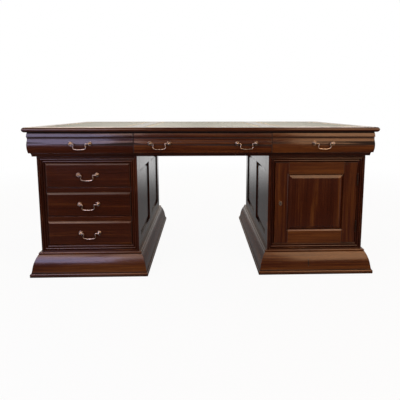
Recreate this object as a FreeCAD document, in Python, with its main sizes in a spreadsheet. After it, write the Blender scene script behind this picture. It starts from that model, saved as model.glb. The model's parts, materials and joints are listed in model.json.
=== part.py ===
import FreeCAD, Part
import math
import os

from FreeCAD import Placement, Rotation, Vector

# Driving sizes, in millimetres. Insets are measured inwards from the outer edge of the top.
SIZES = {
    # whole desk
    "top_length": 1800,
    "top_depth": 1100,
    "desk_height": 780,
    "overrun": 5,
    # top
    "top_thickness": 25,
    "border_width": 70,
    "cross_band_width": 78,
    "cross_band_place": 350,
    "band_thickness": 2,
    "leather_thickness": 1.6,
    # frieze moulding, from the top down
    "neck_height": 4,
    "bead_height": 21.5,
    "fillet_height": 13.5,
    "cushion_height": 67,
    "strip_height": 17,
    "neck_inset": 19,
    "bead_inset": 15.6,
    "bead_middle_inset": 16.2,
    "bead_lip_inset": 18,
    "fillet_inset": 18,
    "cushion_inset": 14.5,
    "cushion_foot_inset": 19.5,
    "strip_inset": 27.5,
    "cavetto_inset": 31,
    "moulding_back_inset": 40,
    # frieze carcass and drawers
    "frieze_board": 22,
    "dust_board": 6,
    "frieze_runner_width": 20,
    "frieze_box_foot": 3,
    "frieze_box_head": 11,
    "frieze_box_gap": 1,
    "frieze_front_gap": 0.5,
    "frieze_post_height": 49,
    "centre_handle_place": 131,
    # pedestals
    "overhang": 48,
    "pedestal_width": 510,
    "carcass_thickness": 20,
    "carcass_lift": 20,
    "board_thickness": 18,
    "stile_flat": 12,
    "top_flat": 12,
    "bottom_flat": 7,
    "beads_width": 24,
    "outer_bead_foot": 13,
    "outer_bead_crest": 17.5,
    "inner_bead_foot": 9.5,
    "inner_bead_crest": 14,
    "plinth_height": 125,
    "plinth_projection": 50,
    # pedestal sides
    "side_stile": 83,
    "side_muntin": 98,
    "side_top_rail": 86,
    "side_bottom_rail": 54,
    "side_panel_plate": 7,
    "side_panel_rise": 6,
    "side_panel_bevel": 28,
    # pedestal drawers
    "drawer_rail": 24,
    "drawer_rail_depth": 20,
    "drawer_rail_setback": 8,
    "front_gap": 1,
    "front_thickness": 22,
    "front_bevel": 9,
    "front_bevel_depth": 6,
    "box_side": 12,
    "box_bottom": 6,
    "box_gap": 2,
    "box_foot": 8,
    "box_head": 15,
    "box_end_gap": 11,
    "runner_height": 15,
    "runner_play": 0.3,
    "guide_height": 12,
    "handle_lift": 4,
    # cupboard and door
    "shelf_place": 235,
    "shelf_setback": 60,
    "door_stop_width": 60,
    "door_stop_depth": 12,
    "door_stop_lap": 9,
    "door_thickness": 22,
    "door_gap": 1.5,
    "door_edge_gap": 1,
    "hinge_gap": 2.6,
    "door_stile": 70,
    "door_top_rail": 66,
    "door_bottom_rail": 74,
    "door_panel_plate": 8,
    "door_panel_rise": 9,
    "door_panel_sink": 3,
    "door_panel_bevel": 19,
    "door_frame_bevel": 7,
    "door_frame_bevel_depth": 5,
    # hinges
    "hinge_length": 60,
    "hinge_margin": 62,
    "hinge_stand": 5,
    "leaf_thickness": 1,
    "leaf_reach": 24,
    "barrel_radius": 3.5,
    "hinge_pin_radius": 1.6,
    "hinge_pin_play": 0.05,
    "knuckle_play": 0.3,
    "pin_head_radius": 3,
    "pin_head_height": 2.5,
    # lock
    "lock_width": 56,
    "lock_height": 64,
    "lock_depth": 12,
    "lock_place": 5,
    "lock_cap": 1,
    "bolt_width": 40,
    "bolt_height": 14,
    "bolt_thickness": 6,
    "bolt_play": 0.3,
    "keyhole_place": 28.5,
    "keyhole_radius": 3.2,
    "keyhole_slot_width": 3,
    "keyhole_slot_drop": 9,
    "escutcheon_width": 17,
    "escutcheon_height": 26,
    "escutcheon_thickness": 1.5,
    # handles
    "post_spacing": 96,
    "pivot_reach": 16,
    "rosette_radius": 10.5,
    "rosette_rim_radius": 7,
    "rosette_thickness": 4,
    "post_neck_radius": 3.8,
    "ball_radius": 6.5,
    "shank_radius": 2,
    "shank_play": 0.3,
    "shank_stub": 2,
    "nut_radius": 5,
    "nut_height": 4,
    "wire_radius": 2.6,
    "pivot_play": 0.1,
    "bail_tip_depth": 2,
    "bail_shoulder": 27.5,
    "bail_shoulder_bend": 5,
    "bail_half_width": 34.5,
    "bail_drop": 27,
    "bail_grip_bend": 9,
}

# Shares of the height and of the projection along the plinth's outline, from the floor up
PLINTH_FOOT_SHARES = ((0.93, 0.0), ((0.981, 0.012), (1.0, 0.05)), (1.0, 0.1), ((0.982, 0.143), (0.94, 0.163)))
PLINTH_LEDGE_SHARES = (0.885, 0.167)
PLINTH_FLARE_SHARES = ((0.825, 0.28), (0.775, 0.4))
PLINTH_OGEE_SHARES = ((0.605, 0.655), (0.305, 0.9))
PLINTH_QUIRK_SHARES = (0.24, 0.908)
PLINTH_BEAD_SHARES = ((0.272, 0.956), (0.2, 1.0))

# Shares of each moulding's height at the middle and the end of its curve
CUSHION_CREST_SHARE = 0.52
BEAD_MIDDLE_SHARE = 0.5
BEAD_LIP_SHARE = 0.94
CAVETTO_MIDDLE_SHARE = 0.55
CAVETTO_TOP_SHARE = 0.88
BEAD_PAIR_SHARES = (0.0, 0.23, 0.46, 0.5, 0.73, 0.96, 1.0)

PEDESTAL_DRAWERS = ("bottom", "middle", "top")
KNUCKLE_COUNT = 3

UP = Vector(0, 0, 1)
ALONG = Vector(1, 0, 0)
HALF_TURN = Rotation(UP, 180)
QUARTER_TURN = 90


class Length:
    """A length with its value and the formula that ties it to the sheet."""

    def __init__(self, value, text):
        self.value = value
        self.text = text

    @staticmethod
    def of(thing):
        return thing if isinstance(thing, Length) else Length(float(thing), repr(float(thing)))

    def join(self, other, sign, value):
        return Length(value, f"({self.text} {sign} {other.text})")

    def __add__(self, other):
        other = Length.of(other)
        return self.join(other, "+", self.value + other.value)

    def __sub__(self, other):
        other = Length.of(other)
        return self.join(other, "-", self.value - other.value)

    def __mul__(self, share):
        share = Length.of(share)
        return self.join(share, "*", self.value * share.value)

    def __truediv__(self, count):
        count = Length.of(count)
        return self.join(count, "/", self.value / count.value)

    def __neg__(self):
        return Length(-self.value, f"(-{self.text})")

    __rmul__ = __mul__

    def __float__(self):
        return float(self.value)


class Sizes:
    """The driving sizes and what follows from them, each as a Length."""

    def __init__(self, sheet):
        for row, (alias, number) in enumerate(SIZES.items(), start=1):
            sheet.set(f"A{row}", alias)
            sheet.set(f"B{row}", str(number))
            sheet.setAlias(f"B{row}", alias)
            setattr(self, alias, Length(float(number), f"Sizes.{alias}"))


doc = FreeCAD.newDocument("partners_desk")
sheet = doc.addObject("Spreadsheet::Sheet", "Sizes")
S = Sizes(sheet)
doc.recompute()
ZERO = Length(0.0, "0")

# Planes of the desk: half sizes, heights and insets that several pieces share
HALF_LENGTH = S.top_length / 2
HALF_DEPTH = S.top_depth / 2
TOP_UNDERSIDE = S.desk_height - S.top_thickness
FRONT_TOP = TOP_UNDERSIDE - S.neck_height
FILLET_TOP = FRONT_TOP - S.bead_height
CUSHION_TOP = FILLET_TOP - S.fillet_height
STRIP_TOP = CUSHION_TOP - S.cushion_height
PEDESTAL_TOP = STRIP_TOP - S.strip_height
FRIEZE_INNER_INSET = S.moulding_back_inset + S.frieze_board

PEDESTAL_FRONT = HALF_DEPTH - S.overhang
PEDESTAL_OUTER = HALF_LENGTH - S.overhang
PEDESTAL_INNER = PEDESTAL_OUTER - S.pedestal_width
PEDESTAL_MIDDLE = (PEDESTAL_OUTER + PEDESTAL_INNER) / 2
CARCASS_FRONT = PEDESTAL_FRONT - S.carcass_thickness
CARCASS_OUTER = PEDESTAL_OUTER - S.carcass_thickness
CARCASS_INNER = PEDESTAL_INNER + S.carcass_thickness
FRIEZE_JOINT = PEDESTAL_INNER + S.carcass_thickness / 2
WALL_FACE = S.board_thickness / 2

FRAME_SIDE = S.stile_flat + S.beads_width
OPENING_OUTER = PEDESTAL_OUTER - FRAME_SIDE
OPENING_INNER = PEDESTAL_INNER + FRAME_SIDE
BEADS_BOTTOM = S.plinth_height + S.bottom_flat
BEADS_TOP = PEDESTAL_TOP - S.top_flat
OPENING_BOTTOM = BEADS_BOTTOM + S.beads_width
OPENING_TOP = BEADS_TOP - S.beads_width
DRAWER_PITCH = (OPENING_TOP - OPENING_BOTTOM + S.drawer_rail) / len(PEDESTAL_DRAWERS)
CARCASS_FLOOR = S.plinth_height + S.board_thickness
CARCASS_CEILING = PEDESTAL_TOP - S.board_thickness

DOOR_FREE_EDGE = OPENING_INNER + S.door_gap
DOOR_HINGE_EDGE = OPENING_OUTER - S.hinge_gap
DOOR_BOTTOM = OPENING_BOTTOM + S.door_edge_gap
DOOR_TOP = OPENING_TOP - S.door_edge_gap
DOOR_BACK = PEDESTAL_FRONT - S.door_thickness
KEYHOLE_X = DOOR_FREE_EDGE + S.keyhole_place
KEYHOLE_Z = (DOOR_BOTTOM + DOOR_TOP) / 2

nodes = {}


# Helpers that make and place objects of the document

def bind(thing, **formulas):
    """Ties an object's properties to lengths of the sheet."""
    for name, length in formulas.items():
        thing.setExpression(name.replace("__", "."), length.text)
    return thing


def place(thing, x=ZERO, y=ZERO, z=ZERO, turn=None):
    """Puts an object at a point, turned if asked."""
    if turn is not None:
        thing.Placement = Placement(Vector(), turn)
    return bind(thing, Placement__Base__x=x, Placement__Base__y=y, Placement__Base__z=z)


def board(name, x, y, z):
    """A plain board between two planes on each axis."""
    box = doc.addObject("Part::Box", name)
    bind(box, Length=x[1] - x[0], Width=y[1] - y[0], Height=z[1] - z[0])
    return place(box, x[0], y[0], z[0])


def rod(name, radius, length, x=ZERO, y=ZERO, z=ZERO, turn=None):
    """A round rod that starts at a point and runs up, or the way it is turned."""
    cylinder = doc.addObject("Part::Cylinder", name)
    bind(cylinder, Radius=radius, Height=length)
    return place(cylinder, x, y, z, turn)


def fuse(name, *pieces):
    joined = doc.addObject("Part::MultiFuse", name)
    joined.Shapes = list(pieces)
    joined.Refine = True
    return joined


def cut(name, base, tool):
    result = doc.addObject("Part::Cut", name)
    result.Base = base
    result.Tool = tool
    return result


def group(name, pieces):
    """Several separate solids held as one object."""
    compound = doc.addObject("Part::Compound", name)
    compound.Links = pieces
    return compound


def again(name, source, x=ZERO, y=ZERO, z=ZERO, turn=None):
    """The same object once more, at another place."""
    link = doc.addObject("App::Link", name)
    link.LinkedObject = source
    link.LinkTransform = True
    return place(link, x, y, z, turn)


def solid(name, shape, turn=None):
    """A solid whose outline no simpler object gives, turned before it is placed."""
    feature = doc.addObject("Part::Feature", name)
    feature.Shape = shape if turn is None else shape.transformed(Placement(Vector(), turn).toMatrix(), True)
    return feature


def node(name, pieces):
    """A named sub-part; its label is the name of its file."""
    nodes[name] = group(name, pieces)
    nodes[name].Label = name
    return nodes[name]


def node_pair(name, pieces):
    """A sub-part on the front and its twin, half a turn round, on the back."""
    node(f"front_{name}", pieces)
    twin = node(f"back_{name}", pieces)
    twin.Placement = Placement(Vector(), HALF_TURN)


def side_span(side, near, far):
    """An X range given from the middle outwards, on the left (-1) or the right (1)."""
    return (near, far) if side > 0 else (-far, -near)


def tapered_block(name, x, y, z, inset):
    """A block whose face at the low Y is drawn in all round, or spread where the inset is negative."""
    block = doc.addObject("Part::Wedge", name)
    bind(block, Ymin=y[0], Ymax=y[1], X2min=x[0], X2max=x[1], Z2min=z[0], Z2max=z[1])
    bind(block, Xmin=x[0] + inset, Xmax=x[1] - inset, Zmin=z[0] + inset, Zmax=z[1] - inset)
    return block


def raised_board(name, x, y, z, bevel, rise):
    """A board facing -Y whose field is raised inside a bevel all round."""
    shoulder = y[0] + rise
    plate = board(name + "_plate", x, (shoulder, y[1]), z)
    field = tapered_block(name + "_field", x, (y[0], shoulder), z, bevel)
    return fuse(name, plate, field)


# Mouldings: an outline holds points (outwards, up); a pair of points is an arc's middle and end

def outline_points(outline):
    flat = []
    for step in outline:
        flat.extend(step if isinstance(step[0], tuple) else (step,))
    return flat


def outline_face(outline, depth, x):
    """A moulding's section across X, standing outwards from a line at -depth."""
    def at(point):
        return Vector(x, -(depth + point[0]), point[1])

    here = at(outline[0])
    edges = []
    for step in outline[1:] + outline[:1]:
        if isinstance(step[0], tuple):
            middle, end = (at(point) for point in step)
            edges.append(Part.Arc(here, middle, end).toShape())
        else:
            end = at(step)
            edges.append(Part.LineSegment(here, end).toShape())
        here = end
    return Part.Face(Part.Wire(edges))


def stick(outline, half_length, half_depth, left=None, right=None, mitre_gap=0.0):
    """A moulding along X, mitred at both corners or cut square where an end is given."""
    outline = tuple(
        tuple(tuple(map(float, point)) for point in step) if isinstance(step[0], tuple)
        else tuple(map(float, step))
        for step in outline
    )
    half_length, half_depth, overrun = map(float, (half_length, half_depth, S.overrun))
    points = outline_points(outline)
    inner = min(point[0] for point in points) - overrun
    outer = max(point[0] for point in points) + overrun
    low = min(point[1] for point in points) - overrun
    high = max(point[1] for point in points) + overrun
    reach = half_length + max(outer, 0) + overrun
    run = outline_face(outline, half_depth, -reach).extrude(2 * reach * ALONG)

    def corner(side, offset, square):
        x = side * (half_length + offset - float(mitre_gap)) if square is None else float(square)
        return Vector(x, -(half_depth + offset), low)

    plan = [corner(-1, inner, left), corner(-1, outer, left), corner(1, outer, right), corner(1, inner, right)]
    room = Part.Face(Part.makePolygon(plan + plan[:1])).extrude((high - low) * UP)
    return run.common(room).Solids[0]


def ring(name, outline, half_length, half_depth):
    """Four mitred sticks round an upright axis."""
    sides = []
    for quarter, sizes in enumerate(((half_length, half_depth), (half_depth, half_length)) * 2):
        turn = Rotation(UP, QUARTER_TURN * quarter)
        sides.append(solid(f"{name}_{quarter}", stick(outline, *sizes), turn))
    return sides


def frieze_face(foot, head):
    """The drawer front's face from its foot to its head: cushion, fillet and bead."""
    return (
        (-S.cushion_foot_inset, foot),
        (
            (-S.cushion_inset, STRIP_TOP + S.cushion_height * CUSHION_CREST_SHARE),
            (-S.fillet_inset, CUSHION_TOP),
        ),
        (-S.fillet_inset, FILLET_TOP),
        (-S.bead_inset, FILLET_TOP),
        (
            (-S.bead_middle_inset, FILLET_TOP + S.bead_height * BEAD_MIDDLE_SHARE),
            (-S.bead_lip_inset, FILLET_TOP + S.bead_height * BEAD_LIP_SHARE),
        ),
        (-S.neck_inset, head),
    )


def strip_face():
    """The strip under the drawers: a small hollow below a square edge."""
    middle_inset = S.cavetto_inset - (S.cavetto_inset - S.strip_inset) * CAVETTO_MIDDLE_SHARE ** 2
    return (
        (-S.cavetto_inset, PEDESTAL_TOP),
        (
            (-middle_inset, PEDESTAL_TOP + S.strip_height * CAVETTO_MIDDLE_SHARE),
            (-S.strip_inset, PEDESTAL_TOP + S.strip_height * CAVETTO_TOP_SHARE),
        ),
        (-S.strip_inset, STRIP_TOP),
    )


def plinth_outline():
    """The plinth's section: rounded foot, ledge, flare, ogee and the bead at its head."""
    def at(shares):
        return (S.plinth_projection * shares[0], S.plinth_height * shares[1])

    def step(shares):
        return tuple(map(at, shares)) if isinstance(shares[0], tuple) else at(shares)

    curve = PLINTH_FOOT_SHARES + (PLINTH_LEDGE_SHARES, PLINTH_FLARE_SHARES)
    curve += (PLINTH_OGEE_SHARES, PLINTH_QUIRK_SHARES, PLINTH_BEAD_SHARES)
    return ((ZERO, ZERO),) + tuple(map(step, curve)) + ((ZERO, S.plinth_height),)


# Top: core board, border with a rounded edge, cross bands and leather

def make_top():
    bed = S.desk_height - S.band_thickness
    border_x = HALF_LENGTH - S.border_width
    border_y = HALF_DEPTH - S.border_width
    band_inner = S.cross_band_place - S.cross_band_width / 2
    band_outer = S.cross_band_place + S.cross_band_width / 2
    depth = (-border_y, border_y)
    edge = S.top_thickness / 2
    node("top_core_board", [board("top_core", (-border_x, border_x), depth, (TOP_UNDERSIDE, bed))])

    border_outline = (
        (-S.border_width, TOP_UNDERSIDE),
        (-edge, TOP_UNDERSIDE),
        ((ZERO, TOP_UNDERSIDE + edge), (-edge, S.desk_height)),
        (-S.border_width, S.desk_height),
    )
    bands = [
        board("cross_band", side_span(side, band_inner, band_outer), depth, (bed, S.desk_height))
        for side in (-1, 1)
    ]
    node("top_borders_and_bands", ring("top_border", border_outline, HALF_LENGTH, HALF_DEPTH) + bands)

    spans = ((-border_x, -band_outer), (-band_inner, band_inner), (band_outer, border_x))
    leather = [board("leather", span, depth, (bed, bed + S.leather_thickness)) for span in spans]
    node("leather_panels", leather)


# Frieze: moulded ends, strips, partitions and runners

def make_frieze():
    end_face = strip_face() + frieze_face(STRIP_TOP, FRONT_TOP)
    end_outline = ((-S.moulding_back_inset, PEDESTAL_TOP),) + end_face
    end_outline += ((-S.neck_inset, TOP_UNDERSIDE), (-S.moulding_back_inset, TOP_UNDERSIDE))
    end_shape = stick(end_outline, HALF_DEPTH, HALF_LENGTH)
    left_end = solid("frieze_end_moulding", end_shape, Rotation(UP, -QUARTER_TURN))
    inner_y = HALF_DEPTH - FRIEZE_INNER_INSET
    inner_x = HALF_LENGTH - FRIEZE_INNER_INSET
    height = (PEDESTAL_TOP, TOP_UNDERSIDE)
    moulding_back = HALF_LENGTH - S.moulding_back_inset
    end_board = board("frieze_end_board", (-moulding_back, -inner_x), (-inner_y, inner_y), height)
    ends = [left_end, end_board]
    node("frieze_ends", ends + [again("right_frieze_end", piece, turn=HALF_TURN) for piece in ends])

    strip = ((-FRIEZE_INNER_INSET, PEDESTAL_TOP),) + strip_face() + ((-FRIEZE_INNER_INSET, STRIP_TOP),)
    neck = (
        (-FRIEZE_INNER_INSET, FRONT_TOP),
        (-S.neck_inset, FRONT_TOP),
        (-S.neck_inset, TOP_UNDERSIDE),
        (-FRIEZE_INNER_INSET, TOP_UNDERSIDE),
    )
    front_half = [
        solid("frieze_strip", stick(strip, HALF_LENGTH, HALF_DEPTH)),
        solid("frieze_neck", stick(neck, HALF_LENGTH, HALF_DEPTH)),
    ]
    run = (-inner_y, -WALL_FACE)
    runner_top = STRIP_TOP + S.frieze_box_foot - S.runner_play
    dust_top = PEDESTAL_TOP + S.dust_board
    width = S.frieze_runner_width
    for side in (-1, 1):
        for near, far, foot in (
            (PEDESTAL_INNER - width, PEDESTAL_INNER, dust_top),
            (CARCASS_INNER, CARCASS_INNER + width, PEDESTAL_TOP),
            (inner_x - width, inner_x, PEDESTAL_TOP),
        ):
            front_half.append(board("frieze_runner", side_span(side, near, far), run, (foot, runner_top)))
    back_half = [again("back_" + piece.Name, piece, turn=HALF_TURN) for piece in front_half]

    full_run = (-inner_y, inner_y)
    wall = (-WALL_FACE, WALL_FACE)
    kneehole = (-PEDESTAL_INNER, PEDESTAL_INNER)
    middle = [
        board("dust_board", kneehole, full_run, (PEDESTAL_TOP, dust_top)),
        board("frieze_middle_wall", kneehole, wall, (dust_top, TOP_UNDERSIDE)),
    ]
    for side in (-1, 1):
        partition = side_span(side, PEDESTAL_INNER, CARCASS_INNER)
        middle.append(board("frieze_partition", partition, full_run, height))
        middle.append(board("frieze_side_wall", side_span(side, CARCASS_INNER, inner_x), wall, height))
    node("frieze_rails_and_runners", front_half + back_half + middle)


# Pedestals: panelled sides, boards and fittings, face frames, plinths

def pedestal_side():
    """A framed side with two raised panels, facing -Y with its middle on the Z axis."""
    depth = (ZERO, S.carcass_thickness)
    bottom_rail_top = S.plinth_height + S.side_bottom_rail
    top_rail_bottom = PEDESTAL_TOP - S.side_top_rail
    muntin = S.side_muntin / 2
    stile = PEDESTAL_FRONT - S.side_stile
    height = (S.carcass_lift, PEDESTAL_TOP)
    panel_depth = (S.carcass_thickness - S.side_panel_plate - S.side_panel_rise, S.carcass_thickness)
    pieces = [board("side_muntin", (-muntin, muntin), depth, height)]
    for side in (-1, 1):
        bay = side_span(side, muntin, stile)
        panel_height = (bottom_rail_top, top_rail_bottom)
        pieces += [
            board("side_stile", side_span(side, stile, CARCASS_FRONT), depth, height),
            board("side_bottom_rail", bay, depth, (S.carcass_lift, bottom_rail_top)),
            board("side_top_rail", bay, depth, (top_rail_bottom, PEDESTAL_TOP)),
            raised_board(
                "side_panel", bay, panel_depth, panel_height, S.side_panel_bevel, S.side_panel_rise
            ),
        ]
    return group("pedestal_side", pieces)


def face_frame():
    """Stiles, rails and the mitred pair of beads round the front opening on the left."""
    height = (S.carcass_lift, PEDESTAL_TOP)
    depth = (-PEDESTAL_FRONT, -CARCASS_FRONT)
    beads_x = (-(PEDESTAL_OUTER - S.stile_flat), -(PEDESTAL_INNER + S.stile_flat))
    pieces = [
        board("frame_stile", (-PEDESTAL_OUTER, beads_x[0]), depth, height),
        board("frame_stile", (beads_x[1], -PEDESTAL_INNER), depth, height),
        board("frame_top_rail", beads_x, depth, (BEADS_TOP, PEDESTAL_TOP)),
        board("frame_bottom_rail", beads_x, depth, (S.carcass_lift, BEADS_BOTTOM)),
    ]
    start, outer, outer_end, inner_start, inner, inner_end, end = (
        -S.beads_width * share for share in BEAD_PAIR_SHARES
    )
    section = (
        (end, ZERO),
        (start, ZERO),
        (start, S.outer_bead_foot),
        ((outer, S.outer_bead_crest), (outer_end, S.outer_bead_foot)),
        (inner_start, S.inner_bead_foot),
        ((inner, S.inner_bead_crest), (inner_end, S.inner_bead_foot)),
        (end, S.inner_bead_foot),
    )
    half_width = (beads_x[1] - beads_x[0]) / 2
    half_height = (BEADS_TOP - BEADS_BOTTOM) / 2
    upright = Rotation(ALONG, QUARTER_TURN)
    middle_z = (BEADS_TOP + BEADS_BOTTOM) / 2
    for bead in ring("frame_beads", section, half_width, half_height):
        pieces.append(place(bead, -PEDESTAL_MIDDLE, -CARCASS_FRONT, middle_z, turn=upright))
    return group("face_frame", pieces)


def drawer_heights(index):
    """The lower and upper edge of the opening for one drawer, counted from the bottom."""
    low = OPENING_BOTTOM + DRAWER_PITCH * index
    return low, low + DRAWER_PITCH - S.drawer_rail


def drawer_fittings():
    """Rails, runners and guides for the three drawers at the front left."""
    rail_front = -(PEDESTAL_FRONT - S.drawer_rail_setback)
    rail_back = rail_front + S.drawer_rail_depth
    run = (rail_back, -WALL_FACE)
    pieces = []
    for index in range(len(PEDESTAL_DRAWERS)):
        low, high = drawer_heights(index)
        if index:
            rail = (-OPENING_OUTER, -OPENING_INNER)
            pieces.append(board("drawer_rail", rail, (rail_front, rail_back), (low - S.drawer_rail, low)))
        top = low + S.front_gap + S.box_foot - S.runner_play
        for wall, box_edge, inwards in (
            (-CARCASS_OUTER, -(OPENING_OUTER - S.box_gap), 1),
            (-CARCASS_INNER, -(OPENING_INNER + S.box_gap), -1),
        ):
            bearing = box_edge + S.box_side * inwards
            stop = box_edge - S.runner_play * inwards
            runner = (wall, bearing) if inwards > 0 else (bearing, wall)
            guide = (wall, stop) if inwards > 0 else (stop, wall)
            pieces.append(board("runner", runner, run, (top - S.runner_height, top)))
            pieces.append(board("guide", guide, run, (top, top + S.guide_height)))
    return pieces


def cupboard_fittings():
    """The shelf and door stop of the cupboard at the front right."""
    shelf_low = CARCASS_FLOOR + S.shelf_place
    shelf_y = (-(CARCASS_FRONT - S.shelf_setback), -WALL_FACE)
    stop_front = -(DOOR_BACK - S.runner_play)
    half_stop = S.door_stop_width / 2
    stop_x = (PEDESTAL_MIDDLE - half_stop, PEDESTAL_MIDDLE + half_stop)
    stop_y = (stop_front, stop_front + S.door_stop_depth)
    return [
        board("shelf", (CARCASS_INNER, CARCASS_OUTER), shelf_y, (shelf_low, shelf_low + S.board_thickness)),
        board("door_stop", stop_x, stop_y, (DOOR_TOP - S.door_stop_lap, CARCASS_CEILING)),
    ]


def pedestal_pair(name, pieces):
    """A sub-part of the left pedestal and its twin, half a turn round, on the right."""
    node(f"left_pedestal_{name}", pieces)
    node(f"right_pedestal_{name}", pieces).Placement = Placement(Vector(), HALF_TURN)


def make_pedestals():
    side = pedestal_side()
    outer = again("outer_side", side, -PEDESTAL_OUTER, turn=Rotation(UP, -QUARTER_TURN))
    inner = again("inner_side", side, -PEDESTAL_INNER, turn=Rotation(UP, QUARTER_TURN))
    pedestal_pair("sides", [outer, inner])

    frame = face_frame()
    back_frame = again("back_face_frame", frame, -PEDESTAL_MIDDLE * 2, turn=HALF_TURN)
    pedestal_pair("face_frames", [frame, back_frame])

    span = (-CARCASS_OUTER, -CARCASS_INNER)
    depth = (-CARCASS_FRONT, CARCASS_FRONT)
    boards = [
        board("pedestal_top_board", span, depth, (CARCASS_CEILING, PEDESTAL_TOP)),
        board("pedestal_bottom_board", span, depth, (S.plinth_height, CARCASS_FLOOR)),
        board("pedestal_middle_wall", span, (-WALL_FACE, WALL_FACE), (CARCASS_FLOOR, CARCASS_CEILING)),
    ]
    cupboard = [again("back_" + piece.Name, piece, turn=HALF_TURN) for piece in cupboard_fittings()]
    pedestal_pair("boards_and_runners", boards + drawer_fittings() + cupboard)

    plinth = ring("plinth_moulding", plinth_outline(), S.pedestal_width / 2, PEDESTAL_FRONT)
    pedestal_pair("plinth", [place(piece, -PEDESTAL_MIDDLE) for piece in plinth])


# Handles: posts with shanks and nuts, and the bails that turn in them

def handle_post(name, panel):
    """A post on a panel whose face is at z = 0, with a blind hole for the bail on its right."""
    hole_start = -S.bail_tip_depth - S.pivot_play
    rosette = doc.addObject("Part::Cone", name + "_rosette")
    bind(rosette, Radius1=S.rosette_radius, Radius2=S.rosette_rim_radius, Height=S.rosette_thickness)
    ball = doc.addObject("Part::Sphere", name + "_ball")
    bind(ball, Radius=S.ball_radius)
    place(ball, z=S.pivot_reach)
    neck = rod(name + "_neck", S.post_neck_radius, S.pivot_reach)
    through = panel + S.nut_height + S.shank_stub
    shank = rod(name + "_shank", S.shank_radius, through + S.rosette_thickness, z=-through)
    bore = S.ball_radius + S.bail_tip_depth + S.overrun
    sideways = Rotation(Vector(0, 1, 0), QUARTER_TURN)
    hole = rod(name + "_hole", S.wire_radius + S.pivot_play, bore, hole_start, z=S.pivot_reach, turn=sideways)
    post = cut(name, fuse(name + "_turning", rosette, ball, neck, shank), hole)

    blank = doc.addObject("Part::Prism", name + "_nut_blank")
    bind(blank, Circumradius=S.nut_radius, Height=S.nut_height)
    place(blank, z=-(panel + S.nut_height))
    tap = rod(name + "_nut_tap", S.shank_radius + S.pivot_play, through, z=-through)
    return group(name + "_with_nut", [post, cut(name + "_nut", blank, tap)])


def bail_shape():
    """A bent wire: tips in the posts, necks, legs that lean out and a straight grip."""
    tip = S.post_spacing / 2 + S.bail_tip_depth
    half = [
        (Vector(float(tip), 0, 0), ZERO),
        (Vector(float(S.bail_shoulder), 0, 0), S.bail_shoulder_bend),
        (Vector(float(S.bail_half_width), 0, -float(S.bail_drop)), S.bail_grip_bend),
    ]
    corners = half + [(Vector(-point.x, 0, point.z), bend) for point, bend in reversed(half)]
    route = [point for point, _ in corners]
    bends = [float(bend) for _, bend in corners]
    edges = []
    here = route[0]
    for before, corner, after, bend in zip(route, route[1:], route[2:], bends[1:]):
        back = (before - corner).normalize()
        ahead = (after - corner).normalize()
        half_angle = back.getAngle(ahead) / 2
        inwards = (back + ahead).normalize()
        tangent = bend / math.tan(half_angle)
        middle = corner + inwards * (bend / math.sin(half_angle) - bend)
        start, end = corner + back * tangent, corner + ahead * tangent
        edges.append(Part.LineSegment(here, start).toShape())
        edges.append(Part.Arc(start, middle, end).toShape())
        here = end
    edges.append(Part.LineSegment(here, route[-1]).toShape())
    section = Part.Wire(Part.Circle(route[0], ALONG, float(S.wire_radius)).toShape())
    return Part.Wire(edges).makePipeShell([section], True, False)


def make_handles(name, handles, face, template):
    """Posts and bails of one drawer; handles holds (bail name, x, z) for each."""
    outwards = Rotation(ALONG, QUARTER_TURN)
    turned = outwards.multiply(HALF_TURN)
    half = S.post_spacing / 2
    posts = []
    for bail_name, x, z in handles:
        posts.append(again(f"{bail_name}_left_post", template, x - half, face, z, turn=outwards))
        posts.append(again(f"{bail_name}_right_post", template, x + half, face, z, turn=turned))
        node_pair(bail_name, [again(f"{bail_name}_wire", bail, x, face - S.pivot_reach, z)])
    node_pair(f"{name}_posts", posts)


def drill(name, front, handles, face, depth):
    """The holes for the handles' shanks through a drawer front."""
    inwards = Rotation(ALONG, -QUARTER_TURN)
    half = S.post_spacing / 2
    drills = [
        rod(f"{name}_drill", S.shank_radius + S.shank_play, depth + S.overrun * 2,
            x + offset, face - S.overrun, z, turn=inwards)
        for _, x, z in handles
        for offset in (-half, half)
    ]
    return cut(f"{name}_front", front, group(f"{name}_drills", drills))


# Drawers

def drawer_box(name, x, y, z):
    """Sides, back and bottom of a drawer; the drawer front closes it."""
    inner = (x[0] + S.box_side, x[1] - S.box_side)
    floor_top = z[0] + S.box_bottom
    return [
        board(f"{name}_left_side", (x[0], inner[0]), y, z),
        board(f"{name}_right_side", (inner[1], x[1]), y, z),
        board(f"{name}_back", inner, (y[1] - S.box_side, y[1]), (floor_top, z[1])),
        board(f"{name}_bottom", inner, y, (z[0], floor_top)),
    ]


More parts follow.
